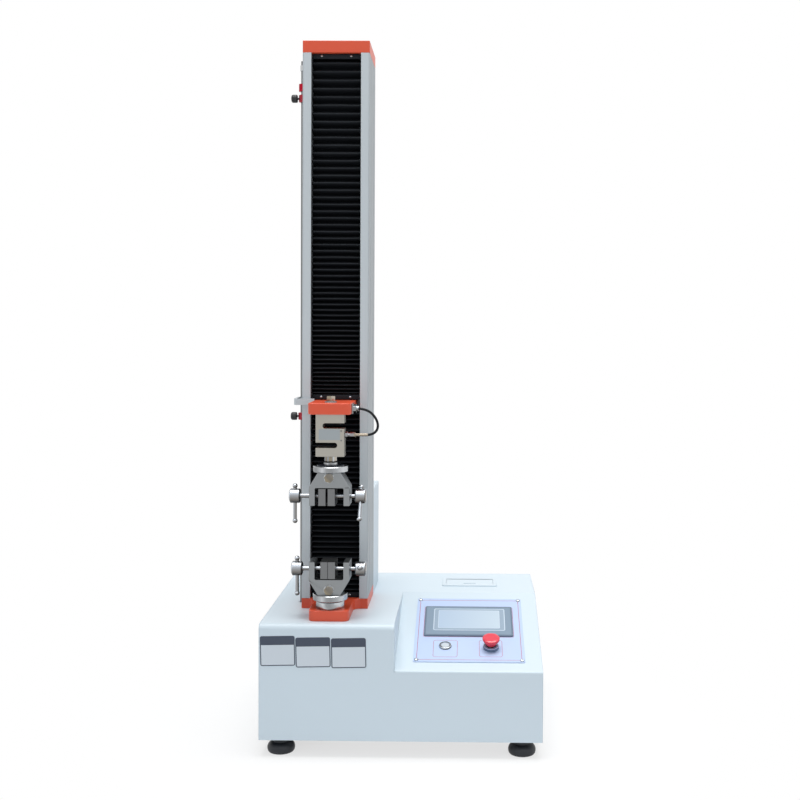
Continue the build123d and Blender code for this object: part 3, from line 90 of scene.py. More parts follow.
def soft_lamp(name, place, aim, size, power, colour):
    """A rectangular lamp at a place, turned towards its aim."""
    lamp_data = bpy.data.lights.new(name, "AREA")
    lamp_data.shape = "RECTANGLE"
    lamp_data.size, lamp_data.size_y = size
    lamp_data.energy = power
    lamp_data.color = colour
    lamp = bpy.data.objects.new(name, lamp_data)
    lamp.location = place
    lamp.rotation_mode = "QUATERNION"
    lamp.rotation_quaternion = (Vector(aim) - Vector(place)).to_track_quat("-Z", "Y")
    scene.collection.objects.link(lamp)


# Each lamp by its name, place, aim, size, power in watts and colour.
soft_lamp("lamp_above", (0.15, -0.25, 4.3), (0.05, 0, 0.2), (3.2, 2.0), 172.0, (1.0, 0.99, 0.97))
soft_lamp("lamp_left", (-2.4, -2.2, 1.5), (0, 0, 0.6), (1.6, 2.2), 5.0, (0.97, 0.98, 1.0))
soft_lamp("lamp_front", (0.25, -2.3, 2.7), (0.08, -0.1, 0.2), (1.4, 1.4), 7.0, (0.94, 0.97, 1.0))
soft_lamp("lamp_right", (1.7, -1.5, 1.4), (-0.05, 0, 0.25), (1.2, 1.2), 4.0, (0.94, 0.97, 1.0))


def add_node(tree, kind, operation=None, values=None):
    """A new shader node with its operation, and the values of inputs that stay unlinked."""
    node = tree.nodes.new("ShaderNode" + kind)
    if operation:
        node.operation = operation
    for socket, value in (values or {}).items():
        node.inputs[socket].default_value = value
    return node


def link_all(tree, links):
    """Links each output in a list to the input beside it."""
    for output, socket in links:
        tree.links.new(output, socket)


def white_rays(tree):
    """A mask of the rays that meet plain white: seen straight, reflected or let through."""
    rays = add_node(tree, "LightPath")
    seen = add_node(tree, "Math", "MAXIMUM")
    seen_all = add_node(tree, "Math", "MAXIMUM")
    link_all(tree, (
        (rays.outputs["Is Camera Ray"], seen.inputs[0]),
        (rays.outputs["Is Glossy Ray"], seen.inputs[1]),
        (seen.outputs[0], seen_all.inputs[0]),
        (rays.outputs["Is Transmission Ray"], seen_all.inputs[1]),
    ))
    return seen_all.outputs[0]


def plain_material(name, colour, roughness, metallic=0.0):
    """A material with its shader set, for a section to add its own texture to."""
    material = bpy.data.materials.new(name)
    material.use_nodes = True
    shader = material.node_tree.nodes["Principled BSDF"]
    shader.inputs["Base Color"].default_value = (*colour, 1)
    shader.inputs["Roughness"].default_value = roughness
    shader.inputs["Metallic"].default_value = metallic
    return material, material.node_tree, shader


world = bpy.data.worlds.new("white_room")
scene.world = world
world.use_nodes = True
tree = world.node_tree
tree.nodes.clear()
room_light = add_node(tree, "Background", values={"Color": (0.90, 0.95, 1.0, 1), "Strength": 0.34})
room_seen = add_node(tree, "Background", values={"Color": (1, 1, 1, 1), "Strength": 1.0})
mix = add_node(tree, "MixShader")
room_out = add_node(tree, "OutputWorld")
link_all(tree, (
    (white_rays(tree), mix.inputs["Fac"]),
    (room_light.outputs[0], mix.inputs[1]),
    (room_seen.outputs[0], mix.inputs[2]),
    (mix.outputs[0], room_out.inputs["Surface"]),
))

floor_half = 14.0
bpy.ops.mesh.primitive_plane_add(size=2 * floor_half, location=(0, 0, 0))
floor = bpy.context.object
floor.name = "floor"
floor_paint, tree, floor_shader = plain_material("floor_paint", (0.90, 0.91, 0.92), 0.8)
shadow_reach = (0.22, 0.62)
white_share = (0.66, 1.0)
place = add_node(tree, "TexCoord")
reach = add_node(tree, "VectorMath", "LENGTH")
fade = add_node(tree, "MapRange", values={
    "From Min": shadow_reach[0], "From Max": shadow_reach[1],
    "To Min": white_share[0], "To Max": white_share[1],
})
fade.interpolation_type = "SMOOTHSTEP"
share = add_node(tree, "Math", "MULTIPLY")
backdrop = add_node(tree, "Emission", values={"Color": (1, 1, 1, 1), "Strength": 1.0})
mix = add_node(tree, "MixShader")
link_all(tree, (
    (place.outputs["Object"], reach.inputs[0]),
    (reach.outputs["Value"], fade.inputs["Value"]),
    (white_rays(tree), share.inputs[0]),
    (fade.outputs["Result"], share.inputs[1]),
    (share.outputs[0], mix.inputs["Fac"]),
    (floor_shader.outputs["BSDF"], mix.inputs[1]),
    (backdrop.outputs["Emission"], mix.inputs[2]),
    (mix.outputs["Shader"], tree.nodes["Material Output"].inputs["Surface"]),
))
floor.data.materials.append(floor_paint)
bpy.ops.object.select_all(action="DESELECT")

# Load cell cable: a limp screened lead of 4.5 mm with a dark jacket. It leaves the connector on the arm's
# flank, hangs out in one loop and goes back into the sleeve on the load cell.
cable_radius = 0.00225
axis_y = -0.1662
cable_route = [
    (-0.0820, axis_y, 0.6126),
    (-0.0685, axis_y, 0.6115),
    (-0.0545, axis_y, 0.6030),
    (-0.0455, axis_y, 0.5880),
    (-0.0460, axis_y, 0.5745),
    (-0.0555, axis_y, 0.5659),
    (-0.0670, axis_y, 0.5650),
]


def new_group(name, inputs, outputs):
    """An empty node group with named sockets; returns it with its input and output nodes."""
    group = bpy.data.node_groups.new(name, "ShaderNodeTree")
    for label, kind, value in inputs:
        socket = group.interface.new_socket(label, in_out="INPUT", socket_type=kind)
        socket.default_value = value
    for label, kind in outputs:
        group.interface.new_socket(label, in_out="OUTPUT", socket_type=kind)
    return group, group.nodes.new("NodeGroupInput"), group.nodes.new("NodeGroupOutput")


# Grain: fine bumps and a slight cloudiness of tone, as on paint, moulded plastic and rubber.
surface_outputs = [
    ("Colour", "NodeSocketColor"), ("Roughness", "NodeSocketFloat"), ("Normal", "NodeSocketVector"),
]
grain_group, grain_in, grain_out = new_group(
    "fine_grain",
    [
        ("Colour", "NodeSocketColor", (0.5, 0.5, 0.5, 1)),
        ("Roughness", "NodeSocketFloat", 0.5),
        ("Size", "NodeSocketFloat", 900.0),
        ("Depth", "NodeSocketFloat", 0.1),
        ("Cloud", "NodeSocketFloat", 0.04),
    ],
    surface_outputs,
)
place = add_node(grain_group, "TexCoord")
fine = add_node(grain_group, "TexNoise", values={"Detail": 3.0})
cloud = add_node(grain_group, "TexNoise", values={"Scale": 9.0, "Detail": 4.0})
bump = add_node(grain_group, "Bump", values={"Distance": 0.0002})
tone = add_node(grain_group, "HueSaturation")
spread = add_node(grain_group, "Math", "MULTIPLY_ADD")
spread_half = add_node(grain_group, "Math", "MULTIPLY_ADD", {1: -0.5, 2: 1.0})
rough = add_node(grain_group, "Math", "MULTIPLY_ADD", {1: 0.12})
rough_low = add_node(grain_group, "Math", "SUBTRACT", {1: 0.06})
link_all(grain_group, (
    (place.outputs["Object"], fine.inputs["Vector"]),
    (place.outputs["Object"], cloud.inputs["Vector"]),
    (grain_in.outputs["Size"], fine.inputs["Scale"]),
    (fine.outputs["Fac"], bump.inputs["Height"]),
    (grain_in.outputs["Depth"], bump.inputs["Strength"]),
    (cloud.outputs["Fac"], spread.inputs[0]),
    (grain_in.outputs["Cloud"], spread.inputs[1]),
    (grain_in.outputs["Cloud"], spread_half.inputs[0]),
    (spread_half.outputs[0], spread.inputs[2]),
    (spread.outputs[0], tone.inputs["Value"]),
    (grain_in.outputs["Colour"], tone.inputs["Color"]),
    (tone.outputs["Color"], grain_out.inputs["Colour"]),
    (fine.outputs["Fac"], rough.inputs[0]),
    (grain_in.outputs["Roughness"], rough_low.inputs[0]),
    (rough_low.outputs[0], rough.inputs[2]),
    (rough.outputs[0], grain_out.inputs["Roughness"]),
    (bump.outputs["Normal"], grain_out.inputs["Normal"]),
))


def from_group(name, group, colour, roughness, metallic, settings):
    """A material whose colour, roughness and normal come out of a node group with these settings."""
    material, tree, shader = plain_material(name, colour, roughness, metallic)
    source = tree.nodes.new("ShaderNodeGroup")
    source.node_tree = group
    settings = {"Colour": (*colour, 1), "Roughness": roughness, **settings}
    for label, value in settings.items():
        source.inputs[label].default_value = value
    link_all(tree, (
        (source.outputs["Colour"], shader.inputs["Base Color"]),
        (source.outputs["Roughness"], shader.inputs["Roughness"]),
        (source.outputs["Normal"], shader.inputs["Normal"]),
    ))
    return material


def grained(name, colour, roughness, metallic=0.0, size=900.0, depth=0.1, cloud=0.04):
    """A painted or moulded surface with the grain group's bumps and clouds."""
    settings = {"Size": size, "Depth": depth, "Cloud": cloud}
    return from_group(name, grain_group, colour, roughness, metallic, settings)


cable_jacket = grained("cable_jacket", (0.010, 0.011, 0.013), 0.6, size=500.0, depth=0.15)
cable_jacket.node_tree.nodes["Principled BSDF"].inputs["Specular IOR Level"].default_value = 0.2
cable_data = bpy.data.curves.new("cable", "CURVE")
cable_data.dimensions = "3D"
cable_data.bevel_depth = cable_radius
cable_data.bevel_resolution = 6
cable_data.resolution_u = 16
cable_data.use_fill_caps = True
line = cable_data.splines.new("NURBS")
line.points.add(len(cable_route) - 1)
for point, (x, y, z) in zip(line.points, cable_route):
    point.co = (x, y, z, 1)
line.order_u = 3
line.use_endpoint_u = True
cable_data.materials.append(cable_jacket)
cable = bpy.data.objects.new("cable", cable_data)
scene.collection.objects.link(cable)
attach(cable, "crosshead")
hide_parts("load_cell_cable")


# Base housing: folded and welded sheet steel with a pale blue-grey powder coat. The motor's cover box
# behind the column has the same coat.
def dress(node_names, material):
    """Puts one material on CAD nodes that keep their shape."""
    for name in node_names:
        node = nodes[name]
        node.data.materials.clear()
        node.data.materials.append(material)


def finish_mesh(piece, material, body, angle=40):
    """Shades a new piece, puts its place into its mesh, and gives it its material and body."""
    bpy.ops.object.select_all(action="DESELECT")
    piece.select_set(True)
    bpy.context.view_layer.objects.active = piece
    bpy.ops.object.transform_apply(location=True, rotation=True, scale=True)
    if angle:
        bpy.ops.object.shade_smooth_by_angle(angle=math.radians(angle))
    if material:
        piece.data.materials.clear()
        piece.data.materials.append(material)
    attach(piece, body)
    bpy.ops.object.select_all(action="DESELECT")


merge_distance = 0.000002
flat_angle = math.radians(0.4)
edge_angle = math.radians(35)


def softened(node_name, material, body, width, segments=2):
    """The shape of a CAD node with its sharp edges broken, as a piece that stands for the node."""
    piece = bpy.data.objects.new(node_name + "_finished", nodes[node_name].data.copy())
    scene.collection.objects.link(piece)
    bpy.ops.object.select_all(action="DESELECT")
    piece.select_set(True)
    bpy.context.view_layer.objects.active = piece
    bpy.ops.object.mode_set(mode="EDIT")
    bpy.ops.mesh.select_all(action="SELECT")
    bpy.ops.mesh.remove_doubles(threshold=merge_distance)
    bpy.ops.mesh.dissolve_limited(angle_limit=flat_angle)
    bpy.ops.object.mode_set(mode="OBJECT")
    edges = piece.modifiers.new("broken_edges", "BEVEL")
    edges.width = width
    edges.segments = segments
    edges.limit_method = "ANGLE"
    edges.angle_limit = edge_angle
    edges.use_clamp_overlap = False
    bpy.ops.object.modifier_apply(modifier="broken_edges")
    finish_mesh(piece, material, body, angle=32)
    even = piece.modifiers.new("even_faces", "WEIGHTED_NORMAL")
    even.keep_sharp = True
    even.weight = 100
    bpy.context.view_layer.objects.active = piece
    bpy.ops.object.modifier_apply(modifier="even_faces")
    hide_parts(node_name)


housing_coat = grained("housing_coat", (0.62, 0.715, 0.785), 0.42, size=1400.0, depth=0.06, cloud=0.015)
dress(["motor_cover"], housing_coat)
softened("base_cover", housing_coat, "frame", width=0.0011, segments=3)

# Bottom plate, closing the housing, and the limit rod's guides: zinc plated steel. The plate is seen only
# from below.
plate_zinc = grained("plate_zinc", (0.50, 0.51, 0.52), 0.38, metallic=0.9, size=300.0, depth=0.05, cloud=0.12)
dress(["bottom_plate", "limit_guides"], plate_zinc)

# Support frame: welded steel channel inside the housing, in dark primer. It stands under the column and
# isn't seen.
frame_primer = grained("frame_primer", (0.10, 0.105, 0.11), 0.6)
dress(["support_frame"], frame_primer)


# Column: one aluminium extrusion, clear anodised, with fine die lines along its length. Its right flank has
# painted shade, a duller tone than the faces in front, and the floors of its grooves have painted shade
# darker still. The carriage behind the bellows and the finger on the arm's flank are anodised like it, with
# the same painted shade on faces turned to the right.
drawn_group, drawn_in, drawn_out = new_group(
    "drawn_lines",
    [
        ("Colour", "NodeSocketColor", (0.5, 0.5, 0.5, 1)),
        ("Roughness", "NodeSocketFloat", 0.4),
        ("Stretch", "NodeSocketVector", (1.0, 1.0, 0.01)),
        ("Size", "NodeSocketFloat", 1500.0),
        ("Depth", "NodeSocketFloat", 0.1),
        ("Contrast", "NodeSocketFloat", 0.08),
    ],
    surface_outputs,
)
place = add_node(drawn_group, "TexCoord")
stretched = add_node(drawn_group, "VectorMath", "MULTIPLY")
lines = add_node(drawn_group, "TexNoise", values={"Detail": 4.0})
bump = add_node(drawn_group, "Bump", values={"Distance": 0.0001})
tone = add_node(drawn_group, "HueSaturation")
centred = add_node(drawn_group, "Math", "SUBTRACT", {1: 0.5})
swing = add_node(drawn_group, "Math", "MULTIPLY")
lift = add_node(drawn_group, "Math", "ADD", {1: 1.0})
rough = add_node(drawn_group, "Math", "ADD")
link_all(drawn_group, (
    (place.outputs["Object"], stretched.inputs[0]),
    (drawn_in.outputs["Stretch"], stretched.inputs[1]),
    (stretched.outputs[0], lines.inputs["Vector"]),
    (drawn_in.outputs["Size"], lines.inputs["Scale"]),
    (lines.outputs["Fac"], bump.inputs["Height"]),
    (drawn_in.outputs["Depth"], bump.inputs["Strength"]),
    (lines.outputs["Fac"], centred.inputs[0]),
    (centred.outputs[0], swing.inputs[0]),
    (drawn_in.outputs["Contrast"], swing.inputs[1]),
    (swing.outputs[0], lift.inputs[0]),
    (lift.outputs[0], tone.inputs["Value"]),
    (drawn_in.outputs["Colour"], tone.inputs["Color"]),
    (tone.outputs["Color"], drawn_out.inputs["Colour"]),
    (swing.outputs[0], rough.inputs[0]),
    (drawn_in.outputs["Roughness"], rough.inputs[1]),
    (rough.outputs[0], drawn_out.inputs["Roughness"]),
    (bump.outputs["Normal"], drawn_out.inputs["Normal"]),
))
along_z = (1.0, 1.0, 0.01)


def drawn(name, colour, roughness, stretch=along_z, metallic=1.0, size=1500.0, depth=0.1, contrast=0.08):
    """A metal with lines in one direction, from drawing, turning or brushing."""
    settings = {"Stretch": stretch, "Size": size, "Depth": depth, "Contrast": contrast}
    return from_group(name, drawn_group, colour, roughness, metallic, settings)


column_anodised_painted_shade = drawn("column_anodised_painted_shade", (0.53, 0.575, 0.605), 0.45, metallic=0.2)
tree = column_anodised_painted_shade.node_tree
shader = tree.nodes["Principled BSDF"]
# Painted shade: the base colour is darkened on faces turned to the right, and more on the groove floors near
# the right flank.
flank_shade_share = 0.62
groove_shade_share = 0.36
groove_rim, groove_floor = 0.0012, 0.0020
column_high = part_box("column_profile")[1]
groove_shade = add_node(tree, "MapRange", values={
    "From Min": column_high.x - groove_floor, "From Max": column_high.x - groove_rim,
    "To Min": groove_shade_share, "To Max": flank_shade_share,
})
place = add_node(tree, "TexCoord")
facing = add_node(tree, "SeparateXYZ")
spot = add_node(tree, "SeparateXYZ")
shade = add_node(tree, "MapRange", values={"From Min": 0.2, "To Min": 1.0})
flank_shaded = add_node(tree, "VectorMath", "SCALE")
link_all(tree, (
    (place.outputs["Normal"], facing.inputs[0]),
    (place.outputs["Object"], spot.inputs[0]),
    (facing.outputs["X"], shade.inputs["Value"]),
    (spot.outputs["X"], groove_shade.inputs["Value"]),
    (groove_shade.outputs["Result"], shade.inputs["To Max"]),
    (shader.inputs["Base Color"].links[0].from_socket, flank_shaded.inputs[0]),
    (shade.outputs["Result"], flank_shaded.inputs["Scale"]),
    (flank_shaded.outputs[0], shader.inputs["Base Color"]),
))
softened("column_profile", column_anodised_painted_shade, "frame", width=0.0006)
dress(["carriage", "limit_finger"], column_anodised_painted_shade)

# Foot flange, cap and crosshead arm: machined plates in orange-red enamel, sanded between coats, so that
# they shine without showing the metal's grain.
orange_enamel = grained("orange_enamel", (0.72, 0.088, 0.036), 0.36, size=700.0, depth=0.05, cloud=0.03)
softened("foot_flange", orange_enamel, "frame", width=0.0010)
softened("column_cap", orange_enamel, "frame", width=0.0008)
softened("crosshead_arm", orange_enamel, "crosshead", width=0.0005)

# Grips: forks in satin anodised aluminium with turned mounts, screws and bars in chromed steel, jaws in
# plain ground steel. Polished faces have a painted reflection: their colour runs in bands of light and dark
# by the way that they face.
brushed_along_x = (0.03, 1.0, 1.0)
grip_satin = drawn("grip_satin", (0.27, 0.285, 0.295), 0.36, stretch=brushed_along_x, contrast=0.15)
softened("upper_yoke", grip_satin, "crosshead", width=0.0007)
softened("lower_yoke", grip_satin, "frame", width=0.0007)


def painted_reflection_metal(name, stops, roughness, reflection_lean=(-0.35, 0.0, 0.85), metallic=1.0):
    """A bright metal with a painted reflection: its colour follows the way each face looks, through a row of
    stops of light and dark.
    """
    material, tree, shader = plain_material(name, (0.5, 0.5, 0.5), roughness, metallic)
    shader.inputs["Specular IOR Level"].default_value = 0.3
    place = add_node(tree, "TexCoord")
    way = add_node(tree, "VectorMath", "DOT_PRODUCT", {1: reflection_lean})
    level = add_node(tree, "MapRange", values={"From Min": -1.0})
    reflection_ramp = add_node(tree, "ValToRGB")
    row = reflection_ramp.color_ramp.elements
    while len(row) < len(stops):
        row.new(0.5)
    for element, (position, colour) in zip(row, stops):
        element.position = position
        element.color = (*colour, 1)
    fine = add_node(tree, "TexNoise", values={"Scale": 900.0})
    bump = add_node(tree, "Bump", values={"Distance": 0.0001, "Strength": 0.03})
    link_all(tree, (
        (place.outputs["Normal"], way.inputs[0]),
        (way.outputs["Value"], level.inputs["Value"]),
        (level.outputs["Result"], reflection_ramp.inputs["Fac"]),
        (reflection_ramp.outputs["Color"], shader.inputs["Base Color"]),
        (place.outputs["Object"], fine.inputs["Vector"]),
        (fine.outputs["Fac"], bump.inputs["Height"]),
        (bump.outputs["Normal"], shader.inputs["Normal"]),
    ))
    return material


# Chrome's tones are a painted reflection: bands of light and dark by the way each face looks.
chrome_reflection_stops = (
    (0.00, (0.26, 0.25, 0.24)), (0.12, (0.09, 0.085, 0.08)), (0.28, (0.14, 0.13, 0.12)),
    (0.42, (0.24, 0.235, 0.23)), (0.54, (0.33, 0.34, 0.355)), (0.64, (0.44, 0.47, 0.51)),
    (0.74, (0.62, 0.67, 0.74)), (0.84, (0.34, 0.36, 0.38)), (1.00, (0.20, 0.205, 0.21)),
)
chrome_painted_reflection = painted_reflection_metal("chrome_painted_reflection", chrome_reflection_stops, 0.22)
# Turned satin steel: its tones are a painted reflection too, bright on faces turned to the right and up.
turned_reflection_stops = (
    (0.00, (0.14, 0.145, 0.15)), (0.22, (0.26, 0.27, 0.28)), (0.36, (0.52, 0.54, 0.56)),
    (0.46, (0.30, 0.31, 0.32)), (0.56, (0.27, 0.28, 0.29)), (0.68, (0.36, 0.375, 0.39)),
    (0.80, (0.58, 0.60, 0.62)), (1.00, (0.30, 0.31, 0.32)),
)
turned_satin_painted_reflection = painted_reflection_metal("turned_satin_painted_reflection", turned_reflection_stops, 0.26, reflection_lean=(0.75, 0.0, 0.35))
dress(["upper_grip_mount", "lower_grip_mount"], turned_satin_painted_reflection)
ground = (1.0, 0.6, 1.0)
jaw_steel = drawn("jaw_steel", (0.19, 0.195, 0.20), 0.38, stretch=ground, size=900.0, contrast=0.3)
for grip in ("upper_left", "upper_right", "lower_left", "lower_right"):
    softened(grip + "_screw", chrome_painted_reflection, grip + "_screw", width=0.0006, segments=3)
    dress([grip + "_bar"], chrome_painted_reflection)
    dress([grip + "_jaw"], jaw_steel)

# Screw drive inside the column: ground guide rods in hard chrome, and a ball screw with its nut, bearings
# and pulley in plain steel. The stop button's stem is of the same steel.
dress(["guide_rods"], chrome_painted_reflection)
dress(["ball_screw", "motor_pulley", "screw_bearings", "ball_nut", "estop_stem"], jaw_steel)


# Bolts and nuts of the grips, in yellow-passivated steel: the pin through each fork has a hexagon head in
# front, over a washer, and the stack under the load cell has a hexagon nut, a bright collar and a blued
# clamp ring. The lower fork stands in a socket with a turned rim.
closing_distance = 0.000005


def turned(name, profile, segments=48, ring=False):
    """A turned piece: a disc drawn up through each radius and height of its profile, or for a ring, a bare
    circle drawn round a closed profile, its last loop joined to the first."""
    fill_type = "NOTHING" if ring else "NGON"
    bpy.ops.mesh.primitive_circle_add(vertices=segments, radius=profile[0][0], fill_type=fill_type)
    piece = bpy.context.object
    piece.name = name
    bpy.ops.object.mode_set(mode="EDIT")
    if ring:
        bpy.ops.mesh.select_mode(type="VERT")
    bpy.ops.mesh.select_all(action="SELECT")
    bpy.ops.transform.translate(value=(0, 0, profile[0][1]))
    for (last_radius, last_height), (radius, height) in zip(profile, profile[1:]):
        bpy.ops.mesh.extrude_region_move(TRANSFORM_OT_translate={"value": (0, 0, height - last_height)})
        share = radius / last_radius
        bpy.ops.transform.resize(value=(share, share, 1), center_override=(0, 0, 0))
    bpy.ops.mesh.select_all(action="SELECT")
    if ring:
        bpy.ops.mesh.remove_doubles(threshold=closing_distance)
    bpy.ops.mesh.normals_make_consistent(inside=False)
    bpy.ops.object.mode_set(mode="OBJECT")
    return piece


def hexagon(name, flats, height, corner):
    """A hexagon head or nut: a six-sided bar with the corners of its top turned off."""
    bpy.ops.mesh.primitive_cylinder_add(vertices=6, radius=flats / 2 / math.cos(math.pi / 6), depth=height)
    piece = bpy.context.object
    piece.name = name
    piece.data.transform(Matrix.Translation((0, 0, height / 2)))
    for vertex in piece.data.vertices:
        vertex.select = vertex.co.z > height * 0.9
    bpy.ops.object.mode_set(mode="EDIT")
    bpy.ops.mesh.select_mode(type="VERT")
    bpy.ops.mesh.bevel(offset=corner, segments=2, affect="VERTICES")
    bpy.ops.object.mode_set(mode="OBJECT")
    rim = piece.modifiers.new("rim", "BEVEL")
    rim.width = 0.0004
    rim.segments = 2
    rim.limit_method = "ANGLE"
    bpy.ops.object.modifier_apply(modifier="rim")
    return piece


def seated(piece, matrix, material, body, angle=40):
    """Puts a new piece at its place in the frame, and finishes it."""
    piece.data.transform(matrix)
    finish_mesh(piece, material, body, angle)


# Yellow-passivated steel: its tones are a painted reflection, light and dark by the way each face looks.
yellow_reflection_stops = (
    (0.00, (0.10, 0.085, 0.06)), (0.25, (0.17, 0.14, 0.10)), (0.42, (0.30, 0.26, 0.19)),
    (0.50, (0.19, 0.175, 0.15)), (0.66, (0.25, 0.235, 0.21)), (0.82, (0.50, 0.46, 0.39)),
    (1.00, (0.34, 0.30, 0.23)),
)
yellow_steel_painted_reflection = painted_reflection_metal("yellow_steel_painted_reflection", yellow_reflection_stops, 0.28, reflection_lean=(0.8, 0.0, 0.55))
blued_ring = grained("blued_ring", (0.035, 0.042, 0.055), 0.3, metallic=0.6)
column_x = -0.130
grip_front = axis_y - 0.021
facing_front = Matrix.Rotation(math.pi / 2, 4, "X")
pin_head_turn = Matrix.Rotation(0.35, 4, "Z")
washer_profile = ((0.0089, 0), (0.0094, 0.0003), (0.0094, 0.0009), (0.0090, 0.0012))
for name, body, pin_z in (("upper", "crosshead", 0.4905), ("lower", "frame", 0.2900)):
    pin_end = Matrix.Translation((column_x, grip_front, pin_z)) @ facing_front
    head = hexagon(name + "_pin_head", flats=0.0153, height=0.0052, corner=0.0024)
    seated(head, pin_end @ pin_head_turn, yellow_steel_painted_reflection, body)
    washer = turned(name + "_pin_washer", washer_profile)
    seated(washer, pin_end, turned_satin_painted_reflection, body)
nut_low = 0.5184
nut_turn = Matrix.Rotation(0.30, 4, "Z")
nut = hexagon("cell_nut", flats=0.0194, height=0.0087, corner=0.0018)
nut_place = Matrix.Translation((column_x, axis_y, nut_low)) @ nut_turn
seated(nut, nut_place, yellow_steel_painted_reflection, "crosshead")
on_axis = Matrix.Translation((column_x, axis_y, 0))
collar = turned("cell_collar", (
    (0.0115, 0.5119), (0.0122, 0.5124), (0.0122, 0.5158), (0.0104, 0.5172), (0.0078, 0.5183),
))
seated(collar, on_axis, turned_satin_painted_reflection, "crosshead")
ring = turned("clamp_ring", ((0.0241, 0.5102), (0.0243, 0.5106), (0.0243, 0.5116), (0.0238, 0.5119)))
seated(ring, on_axis, blued_ring, "crosshead")
socket_rim = turned("socket_rim", (
    (0.0247, 0.2552), (0.0252, 0.2560), (0.0254, 0.2600), (0.0252, 0.2664), (0.0244, 0.2677),
))
seated(socket_rim, on_axis, turned_satin_painted_reflection, "frame")

# Feet: black moulded rubber pucks with a rounded skirt and a plain neck, each on a threaded stud by which
# its height is set. The skirt is widest a little above the floor.
stud_radius = 0.0050
neck_top = 0.0299
foot_rubber = grained("foot_rubber", (0.010, 0.013, 0.019), 0.5, size=500.0, depth=0.2)
foot_profile = (
    (0.0198, 0.0000), (0.0222, 0.0010), (0.0239, 0.0034), (0.0246, 0.0066), (0.0245, 0.0096),
    (0.0236, 0.0126), (0.0218, 0.0152), (0.0193, 0.0172), (0.0165, 0.0184), (0.0142, 0.0190),
    (0.0140, 0.0200), (0.0140, neck_top), (stud_radius, neck_top),
)
for side in ("left", "right"):
    for end in ("front", "back"):
        foot_name = f"{side}_{end}_foot"
        low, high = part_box(foot_name)
        foot_place = Matrix.Translation(((low.x + high.x) / 2, (low.y + high.y) / 2, 0))
        foot = turned(foot_name + "_rubber", foot_profile + ((stud_radius, high.z),), segments=64)
        seated(foot, foot_place, foot_rubber, foot_name)
        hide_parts(foot_name)

# Load cell: an S-shaped block of nickel plated steel, warm satin grey, with a bare aluminium plate on its
# middle and two small cover screws. Its bolt has a yellow-passivated head over a bright washer.
rolled_along_x = (0.05, 1.0, 1.0)
cell_nickel = drawn("cell_nickel", (0.40, 0.385, 0.345), 0.34, stretch=rolled_along_x, contrast=0.12)
softened("load_cell", cell_nickel, "crosshead", width=0.0005)
cell_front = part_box("load_cell")[0].y
plate_satin = drawn("plate_satin", (0.33, 0.365, 0.385), 0.4, stretch=rolled_along_x, contrast=0.08)


def rounded_sheet(name, size, corner, segments):
    """A flat sheet with rounded corners, left in edit mode with all of it selected."""
    bpy.ops.mesh.primitive_plane_add(size=1)
    sheet = bpy.context.object
    sheet.name = name
    sheet.scale = (*size, 1)
    bpy.ops.object.transform_apply(scale=True)
    bpy.ops.object.mode_set(mode="EDIT")
    bpy.ops.mesh.select_all(action="SELECT")
    bpy.ops.mesh.bevel(offset=corner, segments=segments, affect="VERTICES")
    bpy.ops.mesh.select_all(action="SELECT")
    return sheet


def thicken(thickness):
    """Draws the selected faces out by a thickness, and leaves edit mode."""
    bpy.ops.mesh.extrude_region_move(TRANSFORM_OT_translate={"value": (0, 0, thickness)})
    bpy.ops.object.mode_set(mode="OBJECT")


cell_plate_place = Matrix.Translation((-0.1308, cell_front, 0.5666)) @ facing_front
cell_plate = rounded_sheet("cell_plate", (0.0378, 0.0196), corner=0.0008, segments=3)
thicken(0.0003)
seated(cell_plate, cell_plate_place, plate_satin, "crosshead", angle=0)
screw_profile = (
    (0.0022, 0.0), (0.0024, 0.0004), (0.0023, 0.0010),
    (0.0018, 0.0015), (0.0011, 0.0017), (0.0010, 0.0009),
)
small_radius, small_height = 0.62, 0.5
small_profile = [(radius * small_radius, height * small_height) for radius, height in screw_profile]
cover_screw_x = -0.1098
for number, screw_z in enumerate((0.5730, 0.5562), start=1):
    cover_screw = turned(f"cell_cover_screw_{number}", small_profile, segments=18)
    screw_place = Matrix.Translation((cover_screw_x, cell_front, screw_z)) @ facing_front
    seated(cover_screw, screw_place, jaw_steel, "crosshead")
washer_low, washer_height = 0.623, 0.002
washer_place = Matrix.Translation((column_x, axis_y, washer_low))
bolt_place = washer_place @ Matrix.Translation((0, 0, washer_height)) @ Matrix.Rotation(0.22, 4, "Z")
bolt = hexagon("cell_bolt_head", flats=0.0145, height=0.0095, corner=0.0014)
seated(bolt, bolt_place, yellow_steel_painted_reflection, "crosshead")
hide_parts("cell_bolt")
washer_profile = ((0.0106, 0), (0.0110, 0.0004), (0.0110, 0.0016), (0.0105, washer_height))
washer = turned("cell_bolt_washer", washer_profile)
seated(washer, washer_place, plate_satin, "crosshead")

# Cable fittings: a chromed gland on the load cell with a sprung sleeve in bare brass, and a chromed
# connector on the arm's flank. The sleeve is told from the rest by its place, and its coils are a wave.
sleeve_from_x = -0.0885
sleeve_below_z = 0.585
coil_waves = 4200.0
brass_dark = (0.16, 0.135, 0.105)
brass_light = (0.46, 0.405, 0.33)
